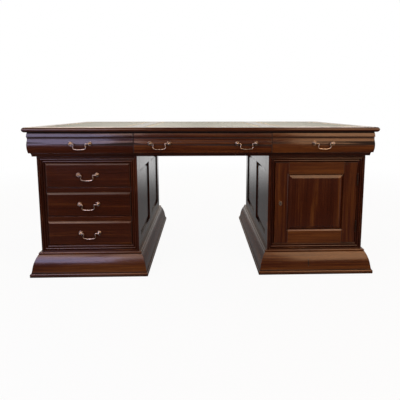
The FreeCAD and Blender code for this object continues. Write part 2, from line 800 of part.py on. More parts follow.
def make_frieze_drawers():
    foot = STRIP_TOP + S.frieze_front_gap
    head = FRONT_TOP - S.frieze_front_gap
    outline = ((-S.moulding_back_inset, foot),) + frieze_face(foot, head) + ((-S.moulding_back_inset, head),)
    face = -(HALF_DEPTH - S.cushion_inset)
    front_back = -(HALF_DEPTH - S.moulding_back_inset)
    box_y = (front_back, -(WALL_FACE + S.box_end_gap))
    box_z = (STRIP_TOP + S.frieze_box_foot, FRONT_TOP - S.frieze_box_head)
    post_z = STRIP_TOP + S.frieze_post_height
    panel = S.moulding_back_inset - S.cushion_inset
    template = handle_post("frieze_post", panel)
    inner_x = HALF_LENGTH - FRIEZE_INNER_INSET
    joint = FRIEZE_JOINT
    gap = S.frieze_front_gap
    side_place = (HALF_LENGTH - S.cushion_inset + joint) / 2
    centre_place = joint - S.centre_handle_place
    sections = (
        ("left", None, -(joint + gap), (-inner_x, -CARCASS_INNER), {"": -side_place}),
        ("centre", -(joint - gap), joint - gap, (-PEDESTAL_INNER, PEDESTAL_INNER),
         {"_left": -centre_place, "_right": centre_place}),
        ("right", joint + gap, None, (CARCASS_INNER, inner_x), {"": side_place}),
    )
    for place_name, left, right, bay, places in sections:
        name = f"frieze_{place_name}_drawer"
        handles = [(f"frieze_{place_name}{part}_bail", x, post_z) for part, x in places.items()]
        shape = stick(outline, HALF_LENGTH, HALF_DEPTH, left, right, mitre_gap=gap)
        front = drill(name, solid(f"{name}_moulding", shape), handles, face, panel)
        box_x = (bay[0] + S.frieze_box_gap, bay[1] - S.frieze_box_gap)
        node_pair(name, [front] + drawer_box(name, box_x, box_y, box_z))
        make_handles(name, handles, face, template)


def make_pedestal_drawers():
    face = -PEDESTAL_FRONT
    front_back = face + S.front_thickness
    x = (-OPENING_OUTER + S.front_gap, -OPENING_INNER - S.front_gap)
    box_x = (-OPENING_OUTER + S.box_gap, -OPENING_INNER - S.box_gap)
    box_y = (front_back, -(WALL_FACE + S.box_end_gap))
    template = handle_post("pedestal_post", S.front_thickness)
    for index, place_name in enumerate(PEDESTAL_DRAWERS):
        name = f"pedestal_{place_name}_drawer"
        low, high = drawer_heights(index)
        z = (low + S.front_gap, high - S.front_gap)
        handles = [(f"pedestal_{place_name}_bail", -PEDESTAL_MIDDLE, (low + high) / 2 + S.handle_lift)]
        raised = raised_board(name, x, (face, front_back), z, S.front_bevel, S.front_bevel_depth)
        front = drill(name, raised, handles, face, S.front_thickness)
        box = drawer_box(name, box_x, box_y, (z[0] + S.box_foot, z[1] - S.box_head))
        node_pair(name, [front] + box)
        make_handles(name, handles, face, template)


# Doors with their hinges and locks

def keyhole():
    """The keyhole's outline, deep enough to pass from the plate into the lock."""
    inwards = Rotation(ALONG, -QUARTER_TURN)
    start = -(PEDESTAL_FRONT + S.escutcheon_thickness + S.overrun)
    end = -DOOR_BACK + S.lock_cap
    half_slot = S.keyhole_slot_width / 2
    eye = rod("keyhole_eye", S.keyhole_radius, end - start, KEYHOLE_X, start, KEYHOLE_Z, turn=inwards)
    slot_x = (KEYHOLE_X - half_slot, KEYHOLE_X + half_slot)
    slot = board("keyhole_slot", slot_x, (start, end), (KEYHOLE_Z - S.keyhole_slot_drop, KEYHOLE_Z))
    return fuse("keyhole", eye, slot)


def make_door(hole):
    depth = (-PEDESTAL_FRONT, -DOOR_BACK)
    height = (DOOR_BOTTOM, DOOR_TOP)
    rails = (DOOR_FREE_EDGE + S.door_stile, DOOR_HINGE_EDGE - S.door_stile)
    panel_z = (DOOR_BOTTOM + S.door_bottom_rail, DOOR_TOP - S.door_top_rail)
    panel_face = -PEDESTAL_FRONT + S.door_panel_sink
    panel_y = (panel_face, panel_face + S.door_panel_rise + S.door_panel_plate)
    bevel_y = (depth[0], depth[0] + S.door_frame_bevel_depth)
    bevel = tapered_block("door_frame_bevel", rails, bevel_y, panel_z, -S.door_frame_bevel)

    def bevelled(name, x, z):
        """A board of the frame, bevelled where it meets the panel."""
        return cut(name, board(name + "_blank", x, depth, z), bevel)

    lock_stile = bevelled("door_lock_stile_bevelled", (DOOR_FREE_EDGE, rails[0]), height)
    node_pair("door", [
        cut("door_lock_stile", lock_stile, hole),
        bevelled("door_hinge_stile", (rails[1], DOOR_HINGE_EDGE), height),
        bevelled("door_top_rail", rails, (panel_z[1], DOOR_TOP)),
        bevelled("door_bottom_rail", rails, (DOOR_BOTTOM, panel_z[0])),
        raised_board("door_panel", rails, panel_y, panel_z, S.door_panel_bevel, S.door_panel_rise),
    ])


def hinge_leaf(name, edge, knuckles):
    """A hinge leaf about the Z axis; edge is -1 for the door's leaf and 1 for the frame's."""
    half_gap = S.hinge_gap / 2
    plate_x = side_span(edge, half_gap - S.leaf_thickness, half_gap)
    knuckle = S.hinge_length / KNUCKLE_COUNT
    plate_start = S.barrel_radius + S.knuckle_play
    pieces = [board(f"{name}_plate", plate_x, (plate_start, S.leaf_reach), (ZERO, S.hinge_length))]
    for index in knuckles:
        low = knuckle * index + S.knuckle_play / 2
        high = knuckle * (index + 1) - S.knuckle_play / 2
        pieces.append(board(f"{name}_tab", plate_x, (ZERO, plate_start), (low, high)))
        pieces.append(rod(f"{name}_knuckle", S.barrel_radius, high - low, z=low))
    bore = rod(f"{name}_bore", S.hinge_pin_radius + S.hinge_pin_play, S.hinge_length)
    return cut(name, fuse(f"{name}_blank", *pieces), bore)


def make_hinges():
    door_leaf = hinge_leaf("door_leaf", -1, (1,))
    frame_leaf = hinge_leaf("frame_leaf", 1, (0, 2))
    head_low = S.knuckle_play / 2 - S.pin_head_height
    head_high = S.hinge_length - S.knuckle_play / 2
    pin = fuse(
        "hinge_pin",
        rod("hinge_pin_rod", S.hinge_pin_radius, S.hinge_length),
        rod("hinge_pin_foot", S.pin_head_radius, S.pin_head_height, z=head_low),
        rod("hinge_pin_head", S.pin_head_radius, S.pin_head_height, z=head_high),
    )
    axis_x = DOOR_HINGE_EDGE + S.hinge_gap / 2
    axis_y = -(PEDESTAL_FRONT + S.hinge_stand)
    heights = (DOOR_BOTTOM + S.hinge_margin, DOOR_TOP - S.hinge_margin - S.hinge_length)
    on_door = [again("door_leaf", door_leaf, axis_x, axis_y, z) for z in heights]
    on_frame = [again("frame_leaf", piece, axis_x, axis_y, z) for z in heights for piece in (frame_leaf, pin)]
    node_pair("door_hinge_leaves", on_door)
    back = [again("back_" + piece.Name, group("hinge_half", [piece]), turn=HALF_TURN) for piece in on_frame]
    node("hinge_frame_leaves_and_pins", on_frame + back)


def make_lock(hole):
    """The case behind the lock stile, its keyhole plate and the sliding bolt."""
    case_front = -DOOR_BACK
    case_x = (DOOR_FREE_EDGE + S.lock_place, DOOR_FREE_EDGE + S.lock_place + S.lock_width)
    half_case = S.lock_height / 2
    case_z = (KEYHOLE_Z - half_case, KEYHOLE_Z + half_case)
    half_bolt = S.bolt_height / 2
    bolt_z = (KEYHOLE_Z - half_bolt, KEYHOLE_Z + half_bolt)
    bolt_y = (case_front + S.lock_cap + S.bolt_play, case_front + S.lock_cap + S.bolt_play + S.bolt_thickness)
    bolt_x = (case_x[0] + S.bolt_play, case_x[0] + S.bolt_play + S.bolt_width)
    play = S.bolt_play
    channel = board(
        "bolt_channel",
        (case_x[0] - S.overrun, bolt_x[1] + play),
        (bolt_y[0] - play, bolt_y[1] + play),
        (bolt_z[0] - play, bolt_z[1] + play),
    )
    case = board("lock_case_blank", case_x, (case_front, case_front + S.lock_depth), case_z)
    case = cut("lock_case", cut("lock_case_channelled", case, channel), hole)
    oval = Part.Ellipse(Vector(), float(S.escutcheon_height / 2), float(S.escutcheon_width / 2))
    plate = Part.Face(Part.Wire(oval.toShape())).extrude(UP * float(S.escutcheon_thickness))
    upright = Rotation(ALONG, QUARTER_TURN).multiply(Rotation(UP, QUARTER_TURN))
    blank = place(solid("escutcheon_blank", plate, upright), KEYHOLE_X, -PEDESTAL_FRONT, KEYHOLE_Z)
    node_pair("door_lock", [case, cut("escutcheon", blank, hole)])
    node_pair("door_bolt", [board("bolt", bolt_x, bolt_y, bolt_z)])


bail = solid("bail", bail_shape())
make_top()
make_frieze()
make_pedestals()
make_frieze_drawers()
make_pedestal_drawers()
key_way = keyhole()
make_door(key_way)
make_hinges()
make_lock(key_way)
doc.recompute()

failed = [thing.Name for thing in doc.Objects if {"Invalid", "Error"} & set(thing.State)]
failed += [name for name, part in nodes.items() if part.Shape.isNull() or not part.Shape.isValid()]
if failed:
    raise RuntimeError(f"not built: {failed}")

os.makedirs("parts", exist_ok=True)
for name, part in nodes.items():
    part.Shape.exportStep(f"parts/{name}.step")
print(f"{len(nodes)} sub-parts, {sum(len(part.Shape.Solids) for part in nodes.values())} solids")
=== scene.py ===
"""Finishes a pedestal partners desk in polished wood, plain wood, gilt-tooled leather, brass and steel."""

import json
import math
import random

import bmesh
import bpy
import numpy as np
from bpy.props import FloatProperty, FloatVectorProperty, PointerProperty
from bpy.types import Operator, Panel, PropertyGroup
from mathutils import Matrix, Vector

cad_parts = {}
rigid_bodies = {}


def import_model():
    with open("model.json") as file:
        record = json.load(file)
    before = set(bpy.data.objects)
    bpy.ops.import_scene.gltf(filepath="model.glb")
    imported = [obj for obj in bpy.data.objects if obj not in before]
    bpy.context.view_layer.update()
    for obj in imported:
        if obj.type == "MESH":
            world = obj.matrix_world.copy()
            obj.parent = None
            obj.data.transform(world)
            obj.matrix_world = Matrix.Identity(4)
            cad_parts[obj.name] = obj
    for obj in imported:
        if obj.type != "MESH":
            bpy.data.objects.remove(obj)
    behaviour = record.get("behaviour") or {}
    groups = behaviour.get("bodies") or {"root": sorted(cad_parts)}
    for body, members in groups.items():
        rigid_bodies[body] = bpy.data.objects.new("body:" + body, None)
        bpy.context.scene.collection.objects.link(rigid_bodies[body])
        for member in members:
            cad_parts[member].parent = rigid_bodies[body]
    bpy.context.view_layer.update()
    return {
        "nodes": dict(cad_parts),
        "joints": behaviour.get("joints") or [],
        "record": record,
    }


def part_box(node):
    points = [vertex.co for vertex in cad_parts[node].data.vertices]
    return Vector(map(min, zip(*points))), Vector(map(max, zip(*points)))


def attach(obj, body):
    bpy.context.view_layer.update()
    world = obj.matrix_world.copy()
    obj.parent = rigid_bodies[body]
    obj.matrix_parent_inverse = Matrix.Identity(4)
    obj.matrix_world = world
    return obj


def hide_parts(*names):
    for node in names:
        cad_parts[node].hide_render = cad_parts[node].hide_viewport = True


bl_info = {
    "name": "Partners Desk Finish",
    "version": (1, 0, 0),
    "blender": (4, 5, 0),
    "location": "View3D > Sidebar > Desk",
    "description": "Finishes the boards, leather and fittings of a partners desk",
    "category": "Object",
}

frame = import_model()
BODY_OF = {node: body for body, nodes in frame["record"]["behaviour"]["bodies"].items() for node in nodes}
BAIL_JOINTS = {joint["child"]: joint for joint in frame["joints"] if joint["child"].endswith("_bail")}
NODES = sorted(frame["nodes"])
DOOR_JOINTS = {joint["child"]: joint for joint in frame["joints"] if joint["child"].endswith("_door")}
MM = 0.001

# Angles that decide what is flat, what is eased and what stays sharp in the shading
FLAT = math.radians(0.3)
EASED = math.radians(25)
CREASE = math.radians(40)

# Shorter inner corners than this, such as those in holes, get no painted shade
LEAST_HOLLOW = 60.0 * MM

# A board counts as this much longer upwards, so that squarish panels have upright grain
UPRIGHT = np.array((1.0, 1.0, 1.3))

# Each board's figure is cut from its own place within this many metres of grain
GRAIN_SPAN = 40.0

# Heights at which the painted shadow under the top's edge starts, is full, thins and ends
UNDER_TOP_SHADOW = (748.0 * MM, 750.0 * MM, 756.0 * MM, 765.0 * MM)

# Heights between which scuffs, and the painted shade along the foot, fade out
SCUFFED = (40.0 * MM, 160.0 * MM)
FOOT_SHADE = (6.0 * MM, 18.0 * MM)

# Numbers of the solids that show in nodes of mostly hidden boards
FRIEZE_MOULDINGS = (0, 2)
FRIEZE_STRIPS = (0, 1, 8, 9)
DRAWER_RAILS = (7, 12)
DRAWER_FRONT = 0

# How much lighter or darker than usual some boards are; the doors' rails go by their numbers
# The frieze strips are darker as painted shade, under the top's edge and under the drawers
STRIP_PAINTED_SHADE = -0.2
# The pedestal sides and face frames are darker, the face frames partly as painted shade in their beads
PEDESTAL_TONE_AND_SHADE = -0.10
PLINTH_TONE = 0.07
RAIL_TONES = {2: 0.06, 3: 0.04}
FRONT_TONES = {"frieze_left_drawer": -0.06, "frieze_centre_drawer": 0.01, "frieze_right_drawer": 0.05}

# Where screws sit on a hinge leaf: along it from its middle and out from the axis, as shares of its size
LEAF_SCREWS = ((-0.33, 0.42), (0.0, 0.72), (0.33, 0.42))

# Steps across and along a leather panel, and sides of a turned handle post
LEATHER_STEPS = (44, 64)
POST_SIDES = 32


def colour(name, description, default):
    """A colour that a user may change."""
    return FloatVectorProperty(
        name=name, description=description, subtype="COLOR", min=0.0, max=1.0, precision=4, default=default
    )


def length(name, description, millimetres):
    """A length that a user may change."""
    default = millimetres * MM
    return FloatProperty(name=name, description=description, unit="LENGTH", precision=5, default=default)


def share(name, description, default):
    """A share from nothing to all that a user may change."""
    return FloatProperty(
        name=name, description=description, subtype="FACTOR", min=0.0, max=1.0, default=default
    )


class DeskColours(PropertyGroup):
    """Colours of the desk's finishes."""

    wood_dark: colour("Polished Wood Dark", "Dark figure of the polished wood", (0.0070, 0.0012, 0.0003))
    wood_middle: colour("Polished Wood", "Main colour of the polished wood", (0.0265, 0.0054, 0.0015))
    wood_light: colour("Polished Wood Light", "Light figure of the polished wood", (0.1250, 0.0450, 0.0085))
    wood_worn: colour("Worn Edge", "Polish rubbed thin along the edges", (0.1900, 0.0700, 0.0220))
    wood_sheen: colour("Polish Sheen", "Colour of the polish seen straight on", (1.0000, 0.8200, 0.7400))
    carcass_dark: colour("Carcass Dark", "Dark figure of the carcass wood", (0.0700, 0.0320, 0.0140))
    carcass_middle: colour("Carcass", "Main colour of the carcass wood", (0.1500, 0.0740, 0.0330))
    carcass_light: colour("Carcass Light", "Light figure of the carcass wood", (0.2500, 0.1380, 0.0650))
    lining_dark: colour("Lining Dark", "Dark figure of the drawer linings", (0.2300, 0.1200, 0.0500))
    lining_middle: colour("Lining", "Main colour of the drawer linings", (0.3700, 0.2200, 0.1050))
    lining_light: colour("Lining Light", "Light figure of the drawer linings", (0.5000, 0.3300, 0.1800))
    leather_dark: colour("Leather Dark", "Leather near its rim and in its creases", (0.0830, 0.0860, 0.0480))
    leather_light: colour("Leather", "Main colour of the leather", (0.1800, 0.1860, 0.1120))
    gilt: colour("Gilt", "Gilt lines tooled in the leather", (0.6200, 0.4000, 0.1300))
    brass_bright: colour("Brass Bright", "Rubbed brass", (0.4300, 0.3150, 0.2450))
    brass_dark: colour("Brass Dark", "Tarnished brass", (0.0850, 0.0580, 0.0410))
    bronze: colour("Browned Brass", "Hinges that have gone brown", (0.0200, 0.0095, 0.0055))
    steel: colour("Steel", "Bright steel of the lock bolts", (0.5200, 0.5100, 0.4900))
    # This colour also paints the shade in corners, under the top and along the foot
    mark: colour("Wear Mark", "Dents and knots in the polished wood", (0.0040, 0.0016, 0.0010))
    floor: colour("Floor", "Pale studio floor", (0.5200, 0.5100, 0.4900))
    room: colour("Room", "Colour of the room in reflections", (0.8900, 0.8500, 0.7800))


class DeskSizes(PropertyGroup):
    """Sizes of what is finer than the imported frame."""

    wood_rounding: length("Wood Rounding", "Rounding of the polished edges", 0.6)
    lining_rounding: length("Lining Rounding", "Rounding of the rough edges inside", 0.8)
    metal_rounding: length("Metal Rounding", "Rounding of the brass and steel edges", 0.25)
    leather_roll: length("Leather Roll", "Drop of the leather at its rim", 0.5)
    leather_roll_width: length("Leather Roll Width", "Width of the rim that drops", 2.5)
    gilt_margin: length("Gilt Margin", "Leather outside the outer gilt line", 14.0)
    gilt_band: length("Gilt Band", "Distance between the gilt lines", 16.0)
    gilt_line: length("Gilt Line", "Width of a gilt line", 1.6)
    gilt_height: length("Gilt Height", "Height of the gilt over the leather", 0.08)
    lozenge: length("Lozenge", "Length of a gilt lozenge", 9.0)
    lozenge_pitch: length("Lozenge Pitch", "Distance from one lozenge to the next", 13.0)
    post_spacing: length("Post Spacing", "Distance between the two posts of a handle", 96.0)
    post_reach: length("Post Reach", "Distance of a bail's pivot from the drawer front", 16.0)
    rosette: length("Rosette Radius", "Radius of the domed plate under a post", 11.2)
    ball: length("Ball Radius", "Radius of the ball that holds the bail", 6.5)
    neck: length("Neck Radius", "Radius of a post under its ball", 3.4)
    shank: length("Shank Radius", "Radius of the threaded shank through the front", 2.0)
    nut: length("Nut Size", "Distance across the flats of a handle nut", 8.0)
    nut_height: length("Nut Height", "Height of a handle nut", 4.0)
    shank_stub: length("Shank Stub", "Length of shank that shows past its nut", 2.0)
    wire: length("Bail Radius", "Radius of a bail at its ends", 2.6)
    grip_swell: share("Grip Swell", "How much thicker a bail is at its grip", 0.22)
    leg_taper: share("Leg Taper", "How much thinner a bail is in its legs", 0.14)
    bail_shoulder: length("Bail Shoulder", "Half width of a bail at its necks", 27.5)
    bail_half_width: length("Bail Half Width", "Half width of a bail where its legs meet its grip", 34.5)
    bail_drop: length("Bail Drop", "Depth of a bail below its pivots", 27.0)
    shoulder_bend: length("Shoulder Bend", "Bend radius at a bail's shoulders", 5.0)
    grip_bend: length("Grip Bend", "Bend radius at the ends of a bail's grip", 9.0)
    grip_sag: length("Grip Sag", "How far the middle of a grip hangs below its ends", 2.4)
    screw: length("Screw Head", "Radius of a screw head", 3.0)
    screw_rise: length("Screw Rise", "Height of a screw head over its plate", 0.18)
    screw_inset: length("Screw Inset", "Distance of the lock's screws from its edges", 7.0)
    pin: length("Plate Pin", "Radius of a pin that holds a keyhole plate", 0.9)
    pin_inset: length("Pin Inset", "Distance of a pin from the end of its plate", 2.6)
    leaf_gap: length("Leaf Gap", "Half the gap between the leaves of a closed hinge", 0.3)
    leaf_reach: length("Leaf Reach", "Distance of a leaf's far edge from the hinge's axis", 24.0)


class DeskStage(PropertyGroup):
    """Light and place of the camera."""

    camera_place: FloatVectorProperty(
        name="Camera Place", description="Where the camera stands", subtype="TRANSLATION",
        unit="LENGTH", default=(-0.0095, -2.5179, 0.8600),
    )
    camera_turn: FloatVectorProperty(
        name="Camera Turn", description="How the camera is turned", subtype="EULER",
        unit="ROTATION", default=(math.radians(82.33), 0.0, math.radians(-1.85)),
    )
    lens: FloatProperty(name="Lens", description="Focal length for a 36 mm wide sensor", default=35.235)
    shift_right: FloatProperty(name="Shift Right", description="Frame shift to the right", default=-0.0347)
    shift_up: FloatProperty(name="Shift Up", description="Frame shift upwards", default=-0.0902)
    ambient: share("Ambient", "Level of the light from all around", 0.12)
    floor_wash: share("Floor Wash", "How much of the floor is plain white to the camera", 0.94)
    room_dark: share("Room Dark", "How much darker reflections are on the side where the camera stands", 0.85)
    # Darkens the floor near the desk in reflections as a painted shadow
    floor_dark: share("Floor Dark", "How much darker the floor close to the desk is in reflections", 0.82)
    lamp_level: share("Lamp Level", "Share of their power that the lamps give", 0.92)


# Wires: node sockets that take part in Python sums

def is_vector(one):
    """Whether a value or wire is a vector."""
    return isinstance(one, tuple) or (isinstance(one, Wire) and one.socket.type == "VECTOR")


class Wire:
    """A node socket that takes part in Python sums, in shader and geometry trees alike."""

    def __init__(self, tree, socket=None):
        self.tree = tree
        self.socket = socket

    def node(self, kind, settings=None, sockets=None, out=0):
        """Adds a node, makes its settings, fills or links its sockets and gives one of its outputs."""
        made = self.tree.nodes.new(kind)
        for name, value in (settings or {}).items():
            if name == "stops":
                fill_ramp(made.color_ramp, value)
            else:
                setattr(made, name, value)
        for key, value in (sockets or {}).items():
            if isinstance(value, Wire):
                self.tree.links.new(value.socket, made.inputs[key])
            else:
                made.inputs[key].default_value = value
        return Wire(self.tree, made.outputs[out] if made.outputs else None)

    def beside(self, name):
        """Another output of the same node."""
        return Wire(self.tree, self.socket.node.outputs[name])

    def combine(self, operation, first, second):
        """Math on values, or Vector Math where either side is a vector."""
        pair = (first, second)
        if not any(is_vector(one) for one in pair):
            return self.node("ShaderNodeMath", {"operation": operation}, dict(enumerate(pair)))
        pair = [(one,) * 3 if isinstance(one, (int, float)) else one for one in pair]
        return self.node("ShaderNodeVectorMath", {"operation": operation}, dict(enumerate(pair)))

    def __add__(self, other):
        return self.combine("ADD", self, other)

    def __radd__(self, other):
        return self.combine("ADD", other, self)

    def __sub__(self, other):
        return self.combine("SUBTRACT", self, other)

    def __rsub__(self, other):
        return self.combine("SUBTRACT", other, self)

    def __mul__(self, other):
        return self.combine("MULTIPLY", self, other)

    def __rmul__(self, other):
        return self.combine("MULTIPLY", other, self)

    def __truediv__(self, other):
        return self.combine("DIVIDE", self, other)


def fill_ramp(ramp, stops):
    """Sets a colour ramp's stops, given as pairs of place and colour."""
    while len(ramp.elements) < len(stops):
        ramp.elements.new(1.0)
    for element, (place, tint) in zip(ramp.elements, stops):
        element.position = place
        element.color = (*tint, 1.0)


def smaller(first, second):
    """The smaller of two values."""
    return first.combine("MINIMUM", first, second)


def larger(first, second):
    """The larger of two values."""
    return first.combine("MAXIMUM", first, second)


def noise(place, stretch, detail=3.0, roughness=0.55):
    """Noise from 0 to 1 whose features are a metre over the stretch in size, which may differ by axis."""
    settings = {"Vector": place * stretch, "Scale": 1.0, "Detail": detail, "Roughness": roughness}
    return place.node("ShaderNodeTexNoise", {}, settings)


def ease(value, low, high):
    """A smooth step from 0 at the low value to 1 at the high one."""
    steps = {"Value": value, "From Min": low, "From Max": high}
    return value.node("ShaderNodeMapRange", {"interpolation_type": "SMOOTHSTEP"}, steps)


def tinted(amount, first, second):
    """One colour turning into another; either may be a wire or a plain colour."""
    pair = [one if isinstance(one, Wire) else (*one, 1.0) for one in (first, second)]
    return amount.node("ShaderNodeMix", {"data_type": "RGBA"}, {0: amount, 6: pair[0], 7: pair[1]}, out=2)


def bumped(height, depth, normal=None):
    """A surface normal disturbed by a height from 0 to 1 that is this deep in metres."""
    sockets = {"Strength": 1.0, "Distance": depth, "Height": height}
    if normal:
        sockets["Normal"] = normal
    return height.node("ShaderNodeBump", {}, sockets)


def split(vector):
    """A vector's parts, which beside gives by their axis."""
    return vector.node("ShaderNodeSeparateXYZ", {}, {0: vector})


def far(vector):
    """The length of a vector."""
    return vector.node("ShaderNodeVectorMath", {"operation": "LENGTH"}, {0: vector}, "Value")


# Finishes: one function for each material, which gives the sockets of its surface

def new_finish(name):
    """A new material and the wire that its nodes hang on."""
    material = bpy.data.materials.new("desk_" + name)
    material.use_nodes = True
    material.node_tree.nodes.clear()
    return material, Wire(material.node_tree)


def object_place(start):
    """The place on the desk, which is also the place in the mesh."""
    return start.node("ShaderNodeTexCoord", out="Object")


def attribute(start, name, out):
    """A value that the mesh keeps for each point."""
    return start.node("ShaderNodeAttribute", {"attribute_name": name}, out=out)


def edge_distance(start):
    """Distance to the second nearest pair of a board's bounding faces, which is small along its edges."""
    low = split(attribute(start, "low", "Vector"))
    high = split(attribute(start, "high", "Vector"))
    first, second, third = (smaller(low.beside(axis), high.beside(axis)) for axis in "XYZ")
    return larger(smaller(first, second), smaller(larger(first, second), third))


class WoodFigure:
    """Figure that follows each board's own grain, with its streaks, fibres and pores, each from 0 to 1."""

    def __init__(self, start):
        grain = attribute(start, "grain", "Vector")
        drift = noise(grain, (1.1, 5.0, 5.0), 2.0) - 0.5
        bent = grain + (0.0, 0.035, 0.035) * drift
        zones = noise(bent, (0.9, 15.0, 15.0), 2.0)
        self.streaks = noise(bent, (2.0, 95.0, 95.0), 4.0, 0.6)
        self.fibres = noise(bent, (10.0, 620.0, 620.0), 2.0)
        self.pores = ease(noise(grain, (38.0, 1300.0, 1300.0), 2.0), 0.56, 0.70)
        figure = zones * 0.46 + self.streaks * 0.42 + self.fibres * 0.20 - 0.04
        self.figure = figure + attribute(start, "tone", "Fac")


WEAR_MARKS = (
    # middle and half sizes in metres: dent in a plinth, knot over a door, bruise on a stile, chip in the top
    ((0.5590, -0.5425, 0.0600), (0.0046, 0.0400, 0.0250)),
    ((0.7560, -0.5020, 0.5835), (0.0075, 0.0200, 0.0035)),
    ((-0.8385, -0.5020, 0.5330), (0.0030, 0.0200, 0.0080)),
    ((0.0900, -0.5495, 0.7740), (0.0035, 0.0060, 0.0035)),
)


def wear_marks(place):
    """Ragged spots at the old marks, 1 in their middle."""
    ragged = (noise(place, 240.0) - 0.5) * 0.9
    marked = None
    for middle, half in WEAR_MARKS:
        spot = 1 - ease(far((place - middle) / half) + ragged, 0.35, 1.0)
        marked = spot if marked is None else larger(marked, spot)
    return marked


def painted_shade_and_grime(start, height):
    """Painted shade in long inner corners, under the top's edge and along the floor, and grime at boards'
    ends, from 0 to 1.
    """
    # Painted shade in long inner corners
    hollow = ease(attribute(start, "hollow", "Fac"), 0.25, 0.85)
    # Painted shadow under the top's edge
    under_top_shadow = ease(height, *UNDER_TOP_SHADOW[:2]) * (1 - ease(height, *UNDER_TOP_SHADOW[2:]))
    ends = split(attribute(start, "ends", "Vector"))
    butted = 1 - ease(smaller(ends.beside("X"), ends.beside("Y")), 0.5 * MM, 4.0 * MM)
    # Painted shade, darker towards the foot
    foot_shade = 1 - ease(height, *FOOT_SHADE)
    return larger(larger(hollow, under_top_shadow) * 0.95, larger(butted * 0.8, foot_shade * 0.7))


def polished_wood(start, place, tints):
    """Dark red polished show wood with figure, pores, thin rubbed edges, old marks, grime at boards' ends,
    and painted shade in corners, under the top and along the foot.
    """
    wood = WoodFigure(start)
    stops = ((0.22, tints.wood_dark), (0.50, tints.wood_middle), (0.86, tints.wood_light))
    base = start.node("ShaderNodeValToRGB", {"stops": stops}, {"Fac": wood.figure})
    base = tinted(wood.pores * 0.55, base, tints.wood_dark)
    patches = ease(noise(place, 9.0), 0.42, 0.72)
    rubbed = (1 - ease(edge_distance(start), 0.4 * MM, 2.2 * MM)) * patches
    base = tinted(rubbed * 0.55, base, tints.wood_worn)
    marked = wear_marks(place)
    base = tinted(marked * 0.92, base, tints.mark)
    height = split(place).beside("Z")
    # Painted shade and grime darken the base colour together with the old marks
    grime_and_painted_shade = larger(painted_shade_and_grime(start, height), marked * 0.9)
    base = tinted(grime_and_painted_shade, base, tints.mark)
    hands = noise(place, 6.0, 4.0)
    gloss = 0.09 + hands * 0.08 + wood.streaks * 0.04 + wood.pores * 0.06 + rubbed * 0.15
    scuffed = 1 - ease(height, *SCUFFED)
    gloss = gloss + scuffed * 0.03 + marked * 0.3 + grime_and_painted_shade * 0.7
    wavy = bumped(noise(place, 4.5, 2.0), 0.35 * MM)
    fine = bumped(wood.streaks * 0.5 - wood.pores - marked * 4.0, 0.05 * MM, wavy)
    return {
        "Base Color": base, "Roughness": gloss, "Normal": fine,
        "Specular IOR Level": 0.26, "Specular Tint": (*tints.wood_sheen, 1.0),
        "Coat Weight": 0.06 * (1 - grime_and_painted_shade), "Coat Roughness": 0.06, "Coat IOR": 1.5,
    }


def plain_wood(start, place, shades, gloss):
    """Unpolished wood of the hidden boards, with dust in its pores."""
    dark, middle, light = shades
    wood = WoodFigure(start)
    stops = ((0.25, dark), (0.50, middle), (0.80, light))
    base = start.node("ShaderNodeValToRGB", {"stops": stops}, {"Fac": wood.figure})
    base = tinted(wood.pores * 0.35, base, dark)
    stains = ease(noise(place, 5.0, 4.0), 0.52, 0.75)
    base = tinted(stains * 0.35, base, dark)
    edges = 1 - ease(edge_distance(start), 0.4 * MM, 3.0 * MM)
    base = tinted(edges * 0.25, base, light)
    rough = gloss + wood.streaks * 0.12 + stains * 0.08
    fine = bumped(wood.streaks * 0.6 + wood.fibres * 0.3 - wood.pores, 0.10 * MM)
    return {"Base Color": base, "Roughness": rough, "Normal": fine, "Specular IOR Level": 0.35}


def carcass_wood(start, place, tints):
    """Stained wood of the boards and runners inside."""
    return plain_wood(start, place, (tints.carcass_dark, tints.carcass_middle, tints.carcass_light), 0.42)


def lining_wood(start, place, tints):
    """Pale bare wood of the drawer boxes."""
    return plain_wood(start, place, (tints.lining_dark, tints.lining_middle, tints.lining_light), 0.50)


def leather(start, place, tints):
    """Worn green skiver with fine grain, darker at its rim."""
    grained = {"Vector": place, "Scale": 620.0, "Smoothness": 0.4}
    cells = start.node("ShaderNodeTexVoronoi", {"feature": "SMOOTH_F1"}, grained)
    clouds = noise(place, 4.0, 4.0)
    speckle = noise(place, 150.0)
    rubbed = ease(noise(place, 2.2), 0.45, 0.70)
    rim = 1 - ease(edge_distance(start), 2.0 * MM, 28.0 * MM)
    shade = rim * 0.45 + (1 - clouds) * 0.45 + cells * 0.25 + speckle * 0.20 - rubbed * 0.22
    base = tinted(ease(shade, 0.15, 0.95), tints.leather_light, tints.leather_dark)
    rough = 0.36 + speckle * 0.12 + rim * 0.06 - rubbed * 0.06
    creases = bumped(noise(place, 30.0, 4.0), 0.10 * MM)
    grain = bumped(1 - cells, 0.10 * MM, creases)
    return {"Base Color": base, "Roughness": rough, "Normal": grain, "Specular IOR Level": 0.38}


def gilt(start, place, tints):
    """Gold leaf, thin and patchy where hands rest."""
    worn = ease(noise(place, 70.0, 4.0), 0.50, 0.70)
    base = tinted(worn * 0.75, tints.gilt, tints.leather_dark)
    return {"Base Color": base, "Roughness": 0.32 + worn * 0.25, "Metallic": 1 - worn * 0.8}


def brass(start, place, tints):
    """Antique brass, tarnished in patches and spots and bright elsewhere."""
    tarnish = noise(place, 110.0, 4.0, 0.6)
    spots = ease(noise(place, 480.0), 0.55, 0.75)
    shade = ease(tarnish, 0.36, 0.72) * 0.75 + spots * 0.25
    base = tinted(shade, tints.brass_bright, tints.brass_dark)
    pitted = bumped(spots, 0.04 * MM, bumped(tarnish, 0.12 * MM))
    return {"Base Color": base, "Roughness": 0.22 + shade * 0.26, "Metallic": 1.0, "Normal": pitted}


